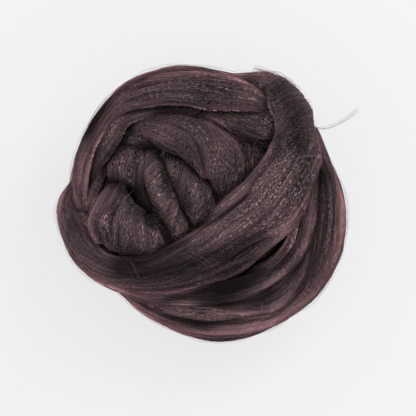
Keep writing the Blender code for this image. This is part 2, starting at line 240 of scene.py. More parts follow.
NEST_FOLDS = {
    "fan": [
        Edges(-42, 42, -41, 37, 66, 8),
        Edges(-37, 45, -36, 37.5, 76, 10),
        Edges(-29, 48.5, -28.5, 34.5, 81, 13, 0, -4),
        Edges(-17, 50, -20.5, 28.5, 85, 15, 0, -8),
        Edges(-4, 48, -11.5, 25.5, 87.5, 16, 0, -14),
        Edges(8, 42.5, -4, 19.5, 88.5, 17, 0, -26),
        Edges(19, 35, 1.8, 12.5, 88.5, 17, 0, -30),
        Edges(25.5, 25, 5.5, 7.5, 87, 16, 0, -24),
        Edges(26.5, 15, 8.5, 1.5, 83.5, 14, 0, -14),
        Edges(26, 4, 12, -5, 76, 11),
    ],
    "fan_lip": [
        Edges(-46, 36, -44.5, 30.5, 66, 6),
        Edges(-41, 39, -39.5, 31.5, 73, 8),
        Edges(-35, 38.5, -34.5, 31, 76, 9),
        Edges(-28, 36, -29, 29.5, 75, 8),
        Edges(-21, 30.5, -23.5, 25, 70, 7),
        Edges(-14, 26, -17, 21, 64, 6),
    ],
    "left_fold": [
        Station(-43, 34, 62, 13, 8),
        Station(-44, 27.5, 74, 20, 12, 0, -5),
        Station(-44.5, 20, 78.5, 24, 14, 0, -15),
        Station(-41, 12.5, 78, 20, 13, 0, -25),
        Station(-36, 4, 74, 15, 13, 0, -25),
        Station(-31, -5, 70, 14, 12, 0, -15),
        Station(-26.5, -14, 66, 12, 10),
        Station(-23, -22, 60, 10, 8),
    ],
    "middle_fold": [
        Edges(-25, 34, -33, 33, 64, 8, 0, -40),
        Edges(-23.5, 29, -34, 27, 74, 11, 0, -50),
        Edges(-20.5, 23, -34, 19, 80, 13, 0, -60),
        Edges(-18, 15.5, -31.5, 10.5, 83, 14, 0, -62),
        Edges(-15, 8, -28, 3, 84.5, 14, 0, -62),
        Edges(-12.5, 1, -25, -4, 84.5, 14, 0, -58),
        Edges(-9.5, -6, -21.5, -10.5, 82.5, 14, 0, -52),
        Edges(-7, -12, -19, -16, 81, 13, 0, -50),
        Edges(-6.5, -18, -17.5, -21.5, 77, 12, 0, -50),
        Edges(-5, -25, -15, -28, 68, 10, 0, -50),
    ],
    "right_fold": [
        Edges(-13, 33, -24, 28, 70, 9, 0, -30),
        Edges(-8, 27, -21.5, 21.5, 80, 13, 0, -40),
        Edges(-3, 20.5, -18, 14.5, 83, 14, 0, -50),
        Edges(2, 14, -15, 7, 84.5, 14, 0, -52),
        Edges(6, 7.5, -12, 0, 85, 14, 0, -52),
        Edges(8, 0, -9.5, -7, 83.5, 13, 0, -45),
        Edges(7, -6.5, -7.5, -13, 81, 12, 0, -35),
        Edges(6, -13, -5, -19, 74, 10, 0, -20),
    ],
    "low_fold": [
        Station(-50, 13, 62, 14, 9, 0, -40),
        Station(-53, 7, 74, 21, 12, 0, -42),
        Station(-53.5, 0, 81, 28, 15, 0, -42),
        Station(-52.5, -7, 84, 34, 17, 0, -38),
        Station(-49.5, -14.5, 84.5, 38, 17.5, 0, -34),
        Station(-45, -22, 82, 41, 17, 0, -30),
        Station(-40, -29, 74, 41, 15, 0, -26),
        Station(-36, -36, 62, 36, 12, 0, -20),
    ],
    "back_fold": [
        Edges(0, 51, -1, 46.5, 68, 7, 0, -15),
        Edges(8, 52, 7, 44.5, 75, 9, 0, -15),
        Edges(17, 52.5, 15, 39.5, 79, 12, 0, -15),
        Edges(26, 52.5, 24.5, 35.5, 81, 13, 0, -15),
        Edges(35, 51.5, 34, 34.5, 82, 13, 0, -15),
        Edges(42, 49.5, 41, 35, 81, 12, 0, -15),
        Edges(50, 46, 49, 36, 76, 10, 0, -15),
    ],
    "corner_fold": [
        Edges(38, 38, 22, 38, 68, 8, 0, 10),
        Edges(39, 31, 21, 31, 76, 10, 0, 10),
        Edges(37.5, 23, 22, 21.5, 78.5, 11, 0, 10),
        Edges(33, 14, 21, 12, 77, 10, 0, 20),
        Edges(27, 5, 18, 3, 70, 9, 0, 20),
    ],
}

CROSSING_BANDS = {
    "crossing": [
        Station(12, 30, 10, 20, 10),
        Station(18, 43, 6, 22, 10),
        Station(26, 58, 15, 23, 11),
        Station(34, 68, 31, 24, 11),
        Station(42.5, 71, 50, 25, 12, 0, -40),
        Station(48, 66, 69, 25, 13, 0, -50),
        Edges(37, 55.5, 63, 57.5, 82, 13, 0, -52),
        Edges(41, 46, 63.3, 47, 90, 13, 0, -40),
        Edges(39.5, 36.5, 66.5, 36.5, 95, 14, 0, -22),
        Edges(36, 28.5, 68, 26, 97.5, 14, 0, -10),
        Edges(31.5, 20, 64.3, 14.5, 99, 14, 0, -5),
        Edges(25, 12.5, 59.7, 3, 100, 14),
        Edges(17, 4.5, 54, -8, 100, 14),
        Edges(8.5, -3, 43, -13.5, 99.5, 14),
        Edges(0, -12, 31, -19.5, 98, 14),
        Edges(-8, -18.5, 17.5, -28.5, 95.5, 14),
        Edges(-15, -22.5, 6, -35, 92.5, 13),
        Edges(-22, -26.5, -7, -40.5, 88.5, 13),
        Edges(-30, -29.5, -20, -44.5, 84.5, 12),
        Edges(-38, -30.5, -33, -45.5, 80.5, 12),
        Edges(-46.5, -30, -46.5, -45, 76.5, 12),
        Edges(-53.5, -27.5, -57.5, -41, 72.5, 12, 0, 6),
        Edges(-58.5, -21.5, -67, -33.5, 68.5, 12, 0, 16),
        Edges(-61, -13, -73.5, -24, 65, 12, 0, 26),
        Edges(-63, -6.5, -77, -13, 61, 11, 0, 30),
        Edges(-67, -2, -78, -3, 57, 10, 0, 28),
        Station(-72, 12, 47, 16, 10, 0, 15),
        Station(-66, 27, 37, 16, 10),
        Station(-56, 38, 27, 16, 10),
        Station(-43, 46, 18, 16, 10),
    ],
    "crossing_lip": [
        Edges(-3, -14.5, -2, -17, 86, 5),
        Edges(3, -9.5, 6, -12, 93.5, 7),
        Edges(7, -4, 11, -7.5, 96.5, 8),
        Edges(12, 1.5, 16.5, -3.5, 98.5, 9),
        Edges(18, 6.5, 22.5, 1.5, 100, 9),
        Edges(24, 11.5, 27.5, 7.5, 100.5, 8),
        Edges(29.5, 17, 32, 14, 99.5, 6),
        Edges(33, 22.5, 35, 20.5, 97, 5),
    ],
    "crossing_skirt": [
        Edges(56, 14, 61, 10, 84, 7),
        Edges(50, 0, 57, -4, 86, 9),
        Edges(42, -8, 51, -13, 87.5, 10),
        Edges(34, -15, 43, -21, 88, 11),
        Edges(25, -22, 33.5, -28.5, 87, 11),
        Edges(14, -28, 23, -37, 86, 11),
        Edges(3, -33, 9.5, -43.5, 84, 11),
        Edges(-8, -37.5, -4, -48, 81, 11),
        Edges(-20, -40.5, -18, -50.5, 77, 10),
        Edges(-33, -41, -33.5, -51, 72, 9),
        Edges(-46, -39, -48, -48.2, 67, 9),
        Edges(-58, -33, -62.5, -41, 61, 9),
        Edges(-66.5, -24, -74.3, -30, 56, 9),
        Station(-76.2, -21.2, 52, 17.5, 10, 8),
        Station(-80.3, -8, 50, 19, 11, 8),
        Station(-79.3, 2, 49, 17, 10, 5),
        Station(-73, 12, 46, 12, 8),
        Station(-65, 21, 42, 8, 7),
    ],
    "crossing_hem": [
        Edges(52, -4, 56, -6, 80, 6),
        Edges(49.5, -13, 53, -15.5, 84.5, 7),
        Edges(46, -21.5, 50, -24.5, 84.5, 7),
        Edges(41.5, -27.5, 45, -31, 81, 7),
        Edges(36.5, -31.5, 39.5, -35.5, 77, 7),
        Edges(30, -34.5, 32, -38.5, 74, 6),
        Edges(23, -37, 24.5, -40.5, 70, 5),
    ],
}

OUTER_BANDS = {
    "drape_upper": [
        Edges(58, 24, 66, 25, 76, 8),
        Edges(57, 8, 64.5, 9, 80, 9),
        Edges(54.5, -4, 63.5, -4, 81, 11),
        Edges(52, -14, 61.5, -16, 80, 12),
        Edges(48, -24, 57.5, -27.5, 78, 12),
        Edges(42, -32, 50, -37, 75, 12),
        Edges(34, -38, 40.5, -44.5, 71.5, 11),
        Edges(24, -42, 29.5, -49.5, 67.5, 11),
        Edges(11, -45.5, 15, -53, 62.5, 10),
        Edges(-3, -48, -2, -53.5, 57, 9),
        Edges(-16, -49, -17, -53, 50, 8),
    ],
    "drape_lower": [
        Edges(61, 2, 65.5, 2, 66, 7),
        Edges(58, -14, 64, -14.5, 72, 9),
        Edges(55, -26, 62.5, -27, 73, 11),
        Edges(51, -35, 60.5, -37.7, 71, 12),
        Edges(46, -42.5, 57, -45.5, 67.5, 12),
        Edges(39, -48.5, 51, -53.5, 63.5, 12, 4),
        Edges(30, -52, 41.5, -60.5, 59.5, 12, 12),
        Edges(17, -52.5, 27, -64, 58, 11, 20),
        Edges(2, -53, 9, -65, 56.5, 10, 24),
        Edges(-12, -53, -11, -63.5, 54.5, 9, 24),
        Edges(-26, -52, -27, -60.5, 52, 8, 18),
    ],
    "drape_edge": [
        Edges(61, -28, 63.2, -28, 63, 6),
        Edges(58.5, -40, 61, -41, 65, 7),
        Edges(54.8, -47.7, 57.5, -49.5, 63, 7),
        Edges(49.5, -54.3, 52, -56.5, 60, 7),
        Edges(42.2, -60.3, 44.5, -62.7, 56.5, 7),
        Edges(32.5, -65, 34, -67.2, 53.5, 7),
        Edges(20, -67.3, 20.7, -69.3, 50.5, 6),
    ],
    "inner_layer": [
        Edges(-48, -42, -49, -48, 48, 8),
        Edges(-32, -45, -34, -57, 52, 9),
        Edges(-15, -44, -16, -61, 53.5, 10),
        Edges(5, -42, 5, -63, 54.5, 10),
        Edges(24, -38, 26, -60, 55.5, 10),
        Edges(38, -30, 46, -52, 57, 10),
        Edges(48, -18, 60, -34, 61, 10),
        Edges(54, -2, 65, -12, 61, 9),
        Edges(57, 12, 66, 8, 59, 8),
    ],
    "outer_upper": [
        Edges(58, 43, 65, 41, 64, 9),
        Edges(62, 28, 69.3, 27, 72, 10),
        Edges(63.5, 13, 74, 12, 73.5, 12),
        Edges(63.5, 0, 75.5, -1, 72.5, 12),
        Edges(62.5, -13, 75.5, -15, 70.5, 12),
        Edges(61.5, -26, 74, -29, 67.5, 12),
        Edges(58.5, -37, 70, -42, 63.5, 12),
        Edges(54, -46.5, 63.5, -53, 59.5, 11),
        Edges(46.5, -54, 53, -61.5, 56, 10),
        Edges(37.5, -60, 41, -68, 53, 10, 6),
        Edges(23, -62, 24, -72, 51.5, 10, 18),
        Edges(6, -62, 5, -73, 51, 10, 28),
        Edges(-10, -60, -12.5, -69.8, 51, 10, 28),
        Edges(-22, -56.5, -27, -61.5, 50, 10, 16),
        Edges(-32, -51.5, -36.5, -54.5, 49.5, 9, 8),
        Edges(-42, -46, -44, -47.7, 49, 7, 0.5),
    ],
    "outer_edge": [
        Station(48, 52, 50, 11, 9),
        Station(57, 34.5, 55, 12, 9),
        Station(69.7, 25.5, 54, 14, 10),
        Station(76.3, 13, 51, 15, 11),
        Station(80, 0, 49, 16, 11),
        Station(80.6, -14.2, 48, 16, 11),
        Station(78.5, -28.6, 46, 16, 11),
        Station(72.3, -41.8, 45, 15, 11),
        Station(63.4, -53.2, 44, 15, 11),
        Station(51.9, -61.9, 43, 14, 10),
        Station(40, -69.3, 42, 14, 10),
        Station(27.4, -75.2, 41, 14, 10),
        Station(13.6, -77.8, 40, 14, 10),
        Station(0, -76.3, 40, 14, 10),
        Station(-12.7, -71.9, 40, 14, 10),
        Station(-24, -66.6, 41, 13, 10),
        Station(-34.4, -60.4, 42, 13, 10),
        Station(-43.2, -52.4, 42, 13, 10),
        Station(-53.5, -43.5, 41, 13, 10),
        Station(-65, -31, 40, 14, 10),
        Station(-72.5, -15, 38, 15, 10),
        Station(-74, 3, 36, 15, 10),
        Station(-70, 21, 34, 15, 10),
        Station(-61, 37, 31, 14, 10),
        Station(-48, 50, 28, 13, 9),
    ],
    "far_bed": [
        Station(46, 48, 40, 18, 9),
        Station(26, 63, 42, 24, 10),
        Station(1, 67, 43, 26, 11),
        Station(-25, 62.5, 43, 26, 11),
        Station(-46, 51, 43, 26, 11),
        Station(-60.5, 34, 43, 26, 11),
        Station(-67.5, 15, 43, 24, 11),
        Station(-69, -2, 43, 18, 10),
    ],
    "side_bed": [
        Station(-69, 6, 44, 14, 9),
        Station(-68.5, -8, 47, 20, 10),
        Station(-64, -22, 49, 22, 10),
        Station(-55, -33, 50, 22, 10),
        Station(-43, -41, 50, 22, 10),
        Station(-30, -46.5, 48, 22, 10),
        Station(-16, -50, 44, 22, 10),
        Station(0, -52, 40, 20, 10),
        Station(16, -51, 37, 18, 9),
    ],
}

# Turns that pass under the ball. Each slopes down towards one side, by slope degrees from level,
# lies shift from the middle plane, and is lifted off the turns below it by lift.
UnderTurn = namedtuple("UnderTurn", "towards slope shift lift")
UNDER_TURNS = [
    UnderTurn(20, 84, 6, 1),
    UnderTurn(112, 70, -8, 3.5),
    UnderTurn(160, 26, 4, 2),
    UnderTurn(215, 44, -6, 0),
    UnderTurn(300, 32, 4, 3),
    UnderTurn(345, 52, -6, 1),
    UnderTurn(60, 38, 3, 3.5),
    UnderTurn(255, 62, 9, 2.5),
    UnderTurn(95, 18, -2, 1),
    UnderTurn(240, 20, 5, 1.5),
    UnderTurn(10, 28, -5, 4),
    UnderTurn(165, 58, 12, 1.5),
    UnderTurn(35, 66, 20, 2),
]

# Creases, pale edges and shaded stretches of the bands, each given as points seen from above. Sink
# is how deep the surface goes down there, pink how much of the paler edge colour shows as painted
# edge light, width how wide the line is, and dark how much painted shade darkens the wool's colour
# along it, in creases, hollows and shaded flanks, or how much painted light lightens it where it's
# below 0.
# A line is drawn in short steps and fades out over LINE_FADE at both ends.
Line = namedtuple("Line", "sink pink width points dark", defaults=[0.0])
LINE_STEP = 3.0
LINE_FADE = 7.0

BAND_LINES = {
    "rim": [
        Line(-0.3, 1.0, 1.2, [
            (-62.5, -5), (-63.3, 2), (-63.3, 10), (-62, 18), (-60.3, 25), (-58, 31), (-55, 36),
            (-51, 41),
        ]),
        Line(-0.2, 0.9, 1.2, [(-66, -4), (-68, 0), (-69.5, 5), (-70.5, 10), (-70.3, 18)]),
        Line(0.0, 0.35, 3.0, [(-67, 2), (-67, 12), (-66, 20), (-63, 28), (-59, 35)]),
        Line(0.6, 0.0, 0.9, [
            (-65.3, -2), (-65.6, 9), (-64.5, 19), (-61.5, 28), (-57, 36), (-52, 43),
        ], 0.35),
        Line(0.5, 0.0, 1.1, [
            (-46, 52), (-38, 57), (-28, 60), (-15, 61), (0, 60.8), (10, 60), (20, 57),
        ], 0.3),
        Line(0.7, 0.0, 0.9, [(1, 65), (7, 63.3), (13, 61.5), (19, 59.5)], 0.5),
        Line(0.5, 0.0, 1.0, [
            (-42, 60), (-33, 64), (-20, 67), (-5, 67.8), (8, 66.8), (18, 64.3), (27, 60),
        ], 0.3),
        Line(0.4, 0.0, 1.0, [(-40, 54), (-28, 56.5), (-12, 57), (4, 56), (18, 54), (30, 52.5)], 0.25),
        Line(-0.2, 0.5, 1.1, [
            (-49, 54), (-44, 59.5), (-36, 65), (-28, 68.3), (-18, 70.5), (-6, 71.5), (6, 70.5), (14, 69),
        ]),
        Line(-0.3, 0.9, 1.5, [(12, 70), (18, 69), (24, 66.4), (29, 63.5), (33, 60.5), (36, 56)]),
        Line(0.0, 0.3, 2.5, [(18, 63), (26, 59), (33, 55)]),
    ],
    "rim_under": [
        Line(-0.2, 0.8, 1.5, [
            (-66, 32), (-64, 38), (-60, 46), (-54.5, 54), (-48, 61), (-40, 66.5), (-30, 71), (-20, 73.8),
            (-10, 75.3), (0, 74.8), (8, 73.3), (16, 71.5),
        ]),
        Line(0.5, 0.0, 3.4, [(-66, 30), (-61.5, 40.5), (-56, 49), (-50.5, 56), (-44, 62)], 0.6),
        Line(0.5, 0.0, 1.1, [(-42, 63), (-30, 69), (-20, 72), (-8, 73.3), (3, 72.8), (12, 71)], 0.5),
    ],
    "rim_inner": [
        Line(-0.2, 0.7, 1.0, [(-59, 30), (-56.5, 35), (-53, 40.3), (-49, 44.5), (-43, 48.3)]),
        Line(0.5, 0.0, 1.1, [(-57, 22), (-55, 28), (-50, 35), (-44, 41), (-37, 46.5)], 0.2),
        Line(0.0, 0.0, 3.2, [(-58, 4), (-57, 10), (-55, 17), (-51, 24), (-46, 30), (-42.5, 36)], 0.35),
        Line(0.0, 0.0, 4.0, [(-30, 50), (-20, 51), (-10, 50.5)], 0.5),
    ],
    "shoulder": [
        Line(0.4, 0.0, 3.5, [(22, 70), (28, 68.5), (33, 66)], 0.4),
        Line(-0.2, 0.5, 1.0, [(12, 71.5), (20, 71), (30, 71), (38, 70.5)]),
    ],
    "fan": [
        Line(0.9, 0.0, 1.1, [(-10, 49), (-4, 46.5), (2, 42.5), (7, 37.5), (10, 32)], 0.35),
        Line(1.0, 0.0, 1.1, [(-6, 37.5), (-2.5, 33), (-0.5, 28), (0.5, 23), (1.5, 18), (3.5, 13)], 0.45),
        Line(0.6, 0.0, 1.0, [(11, 38), (16, 33), (18.5, 27), (19.5, 20), (19, 13)], 0.3),
        Line(0.5, 0.0, 1.0, [(8, 31), (11.5, 24), (12.5, 18), (12.5, 10)], 0.2),
        Line(-0.2, 0.35, 1.2, [(13, 38.5), (19, 32), (22, 25), (22.5, 19), (20, 13)]),
        Line(0.0, 0.0, 8.0, [(12, 32), (17, 22), (16, 12)], 0.22),
        Line(0.0, 0.0, 5.0, [(-36, 43), (-28, 46), (-18, 48)], 0.25),
        Line(0.0, 0.0, 5.0, [(-30, 40), (-18, 36), (-8, 29)], -0.12),
    ],
    "fan_lip": [
        Line(0.0, 0.0, 5.0, [(-28, 32), (-22, 28), (-16, 24)], 0.5),
    ],
    "left_fold": [
        Line(0.5, 0.0, 1.2, [(-42, 29), (-40, 22), (-37, 14)], 0.2),
        Line(0.0, 0.0, 5.0, [(-44, 11), (-37, 6), (-32, -2), (-28, -10)], 0.6),
        Line(0.0, 0.0, 2.5, [(-53, 15), (-46, 12), (-40, 11)], 0.45),
    ],
    "middle_fold": [
        Line(1.3, 0.0, 1.1, [(-13, 1), (-16.5, -4.5), (-18.5, -8), (-20, -12)], 0.5),
        Line(-0.4, 0.3, 1.0, [(-12.5, -2), (-15.3, -6), (-17, -9.5), (-18, -13)], -0.2),
        Line(0.5, 0.0, 1.0, [(-30, 25), (-27, 17), (-23, 8), (-20, 0)], 0.15),
        Line(0.0, 0.0, 4.0, [
            (-29, 22), (-26, 14), (-22.5, 6), (-18.5, -2), (-15, -9), (-12, -15),
        ], -0.28),
        Line(0.0, 0.0, 3.0, [(-22, 24), (-18, 15), (-14.5, 6), (-12, -2)], 0.35),
    ],
    "right_fold": [
        Line(0.7, 0.0, 1.1, [(-12, 18), (-8.5, 9), (-6, 0), (-4.5, -9)], 0.35),
        Line(0.8, 0.0, 1.1, [(-3, 17), (1, 9), (3.3, 1), (3.5, -6)], 0.4),
        Line(0.0, 0.0, 3.0, [(-16, 18), (-12.5, 9), (-9.5, 0), (-7, -9)], 0.35),
        Line(0.0, 0.0, 3.0, [(-7, 14), (-3.5, 6), (-1, -2)], -0.15),
    ],
    "low_fold": [
        Line(1.7, 0.0, 1.2, [(-43, 5.5), (-47, 2), (-50, -2), (-53, -5.5), (-56, -7)], 0.6),
        Line(1.6, 0.0, 1.1, [
            (-41.5, 4), (-45, -0.5), (-48, -5), (-49.5, -10), (-49.5, -17), (-48, -23),
        ], 0.6),
        Line(2.0, 0.0, 1.7, [(-57.5, -12), (-57, -17), (-55, -22), (-52, -27)], 0.75),
        Line(1.2, 0.0, 1.1, [(-53, -12), (-52.5, -17), (-51, -22), (-48, -28)], 0.55),
        Line(1.0, 0.0, 1.0, [(-44, -10), (-45.5, -16), (-45, -23), (-42, -29)], 0.45),
        Line(0.7, 0.0, 1.0, [(-38.5, -16), (-38.5, -22), (-36.5, -28)], 0.35),
        Line(0.6, 0.0, 0.9, [(-39, 1), (-41, -5), (-41, -11)], 0.3),
        Line(-0.3, 0.8, 1.4, [
            (-60.5, 4), (-61.8, -4), (-61.3, -11), (-59.5, -17), (-56.5, -23), (-52.5, -28),
        ]),
        Line(-0.4, 0.4, 1.0, [(-45, 4), (-48, 0), (-51.5, -4), (-54, -9), (-56, -14)]),
        Line(0.0, 0.0, 4.0, [(-50, -29), (-42, -31), (-34, -30), (-27, -27)], 0.4),
        Line(0.0, 0.0, 3.5, [(-44, 8), (-37, 5), (-33, -1), (-30, -8)], 0.3),
    ],
    "back_fold": [
        Line(0.5, 0.0, 1.0, [(6, 47), (16, 45.5), (27, 43), (38, 42)], 0.2),
        Line(0.0, 0.0, 3.0, [(8, 43), (16, 38.5), (26, 35.5), (36, 35)], 0.5),
        Line(0.0, 0.0, 2.0, [(6, 50), (18, 50), (30, 49.5), (40, 47)], 0.45),
    ],
    "corner_fold": [
        Line(0.0, 0.0, 7.0, [(31, 36), (30, 30), (29, 22), (27, 14)], 0.45),
    ],
    "crossing": [
        Line(1.2, 0.0, 1.5, [
            (-1, -14.5), (5, -11), (10, -7.5), (15, -4), (20, 0), (24.5, 4), (28, 7.5),
        ], 0.75),
        Line(0.6, 0.0, 1.1, [
            (62, 30), (57, 19), (51, 9), (43, 0), (34, -9), (24, -17), (12, -25), (0, -31),
        ], 0.3),
        Line(0.5, 0.0, 1.0, [
            (55, 40), (53, 28), (47, 16), (39, 6), (29, -3), (18, -11), (6, -19), (-6, -26),
        ], 0.2),
        Line(0.5, 0.0, 1.0, [(45, 42), (42, 31), (36, 20), (28, 10)], 0.2),
        Line(0.4, 0.0, 1.0, [(50, -6), (42, -12), (32, -16), (22, -22), (12, -27)], 0.3),
        Line(-0.3, 0.6, 1.5, [(65, 38), (66.5, 28), (64, 18), (60.7, 9), (57, 1), (53.7, -6), (51, -11)]),
        Line(0.0, 0.35, 3.5, [(57, 2), (51, -8), (44, -14), (36, -20)]),
        Line(0.0, 0.0, 10.0, [(50, 12), (40, 2), (28, -6), (14, -14), (2, -21)], -0.25),
        Line(0.3, 0.0, 2.0, [(38, 58), (39, 52), (41, 47), (44, 41)], 0.4),
        Line(-0.2, 0.4, 0.9, [(41, 54), (43, 58.5), (46, 63)], -0.3),
        Line(-0.2, 0.4, 0.9, [(43, 40), (45, 45), (46, 50)], -0.3),
        Line(0.0, 0.0, 7.0, [(-64, -26), (-70, -15), (-73, -4)], 0.28),
        Line(0.5, 0.0, 1.0, [(-74, 4), (-71, -6), (-66, -18), (-56, -31), (-42, -39), (-26, -40)], 0.3),
        Line(0.5, 0.0, 1.0, [(-69, 2), (-66, -9), (-60, -21), (-50, -32), (-36, -35)], 0.25),
    ],
    "crossing_lip": [
        Line(0.4, 0.0, 0.9, [(4, -9), (10, -4), (17, 2), (24, 8)], 0.2),
        Line(0.0, 0.25, 2.0, [(4, -8), (12, 0), (20, 6.5), (28, 14)], -0.15),
    ],
    "crossing_skirt": [
        Line(-0.3, 0.75, 1.4, [
            (50.5, -13.5), (47, -19), (42, -23.5), (38, -27), (33.5, -31), (28, -34.5), (20, -38.6),
            (10, -43), (0, -46.6), (-10, -49), (-20, -50), (-30, -50.5), (-40, -49.7), (-48, -46.8),
            (-56, -43), (-64, -37.5), (-71, -29.5),
        ]),
        Line(-0.2, 0.55, 1.1, [
            (28, -29), (15, -34.5), (5, -38), (-5, -41), (-15, -43.7), (-25, -45.3), (-35, -46),
            (-45, -45), (-55, -42),
        ]),
        Line(0.9, 0.0, 1.1, [
            (32, -28.5), (22, -34), (10, -39.5), (0, -43.3), (-10, -46), (-20, -47.6), (-32, -48.3),
            (-42, -47.3),
        ], 0.45),
        Line(0.6, 0.0, 0.9, [(-79, -1.5), (-75, -4), (-71, -9)], 0.5),
        Line(-0.2, 0.5, 1.6, [
            (-75, 10), (-78.5, 3), (-79, -6), (-77.8, -14), (-75, -22), (-70.5, -30.5), (-64, -38),
        ]),
    ],
    "crossing_hem": [
        Line(-0.2, 0.5, 1.0, [(52, -14), (49.5, -21), (45.5, -28), (40, -34)]),
        Line(0.4, 0.0, 1.0, [(51, -16), (48, -22), (43.5, -28.5)], 0.4),
    ],
    "drape_upper": [
        Line(-0.2, 0.35, 2.2, [(63, -2), (60.5, -14), (57, -24), (52, -32), (45, -39), (38, -44)], -0.25),
        Line(0.0, 0.0, 3.0, [(55, -6), (51.5, -17), (47, -26), (41, -33), (33, -38), (24, -42)], 0.55),
        Line(0.6, 0.0, 0.9, [(60, 4), (57.5, -10), (53.5, -22), (47.5, -31), (39, -38.5)], 0.3),
        Line(0.0, 0.0, 6.0, [(28, -44), (14, -48), (0, -50)], 0.5),
    ],
    "drape_lower": [
        Line(-0.2, 0.3, 3.0, [(60, -33), (55.5, -43), (49.5, -51), (42, -57.5), (34, -61)], -0.25),
        Line(0.0, 0.0, 3.2, [(58, -27), (54, -35.5), (48, -42.5), (40.5, -48), (30, -52)], 0.55),
        Line(0.5, 0.0, 0.9, [(57, -36), (51.5, -45), (44, -51.5), (34, -56), (20, -58.5)], 0.3),
        Line(0.6, 0.0, 1.1, [(40, -60), (28, -63), (15, -64), (0, -63.5), (-14, -61)], 0.5),
        Line(0.0, 0.2, 1.5, [(38, -57.5), (26, -60.5), (14, -61), (2, -60.5), (-8, -59)], -0.3),
    ],
    "drape_edge": [
        Line(-0.2, 0.6, 1.2, [(61, -38), (56.5, -47.5), (51, -55), (44, -61)]),
    ],
    "inner_layer": [
        Line(0.0, 0.0, 7.0, [(-24, -50), (-10, -48.5), (4, -47), (18, -43), (30, -39), (40, -33)], 0.9),
        Line(0.0, 0.0, 5.0, [(-6, -55), (6, -52), (18, -48), (30, -45)], 0.5),
    ],
    "outer_upper": [
        Line(0.0, 0.0, 4.5, [(67, 24), (67, 8), (66, -8), (65, -22), (62, -35)], 0.45),
        Line(0.6, 0.0, 1.0, [(70.5, 21), (72.5, 8), (73, -5), (72, -18), (69, -30), (65, -39)], 0.45),
        Line(0.6, 0.0, 1.0, [(68, 18), (69, 4), (68.5, -10), (66.5, -24), (62.5, -37), (57, -48)], 0.35),
        Line(-0.2, 0.4, 1.4, [(74.5, -8), (73.5, -18), (71, -28), (67, -38), (60, -48), (52, -56)]),
        Line(0.9, 0.0, 1.1, [(58, -44.5), (51, -53), (43, -59.5), (36, -64.5), (29, -67.5)], 0.5),
        Line(-0.2, 0.8, 2.2, [
            (71, -34), (67, -43), (61, -50.5), (54, -56.5), (46, -62), (38, -66.5), (28, -70),
        ]),
        Line(-0.2, 0.9, 1.5, [
            (30, -69), (20, -71), (10, -71.6), (0, -71.2), (-10, -68.6), (-20, -64), (-29, -58.5),
            (-36, -53.5),
        ]),
        Line(0.5, 0.0, 1.0, [
            (36, -63.5), (22, -66), (6, -66.5), (-8, -64.5), (-20, -60.5), (-30, -55),
        ], 0.45),
        Line(0.0, 0.0, 3.0, [(16, -65), (2, -65), (-12, -62), (-24, -57)], 0.35),
    ],
    "outer_edge": [
        Line(-0.4, 1.0, 2.0, [
            (70.5, 24), (74.5, 14), (76.7, 4), (77.5, -6), (76.8, -16), (75, -26), (71.5, -35),
            (66, -44), (60, -51), (52, -57.5), (45, -62), (38, -66), (28, -70.5),
        ]),
        Line(-0.2, 0.8, 1.6, [
            (-2, -73.5), (-12, -70.5), (-21, -66.5), (-30, -61), (-38, -55), (-45, -49),
        ]),
        Line(-0.2, 0.7, 1.5, [(60, 46), (65, 37), (69.5, 28), (72.5, 20)]),
        Line(0.0, 0.0, 2.4, [(-8, -72.5), (5, -75), (15, -75.3), (27, -73.3)], 0.5),
    ],
}
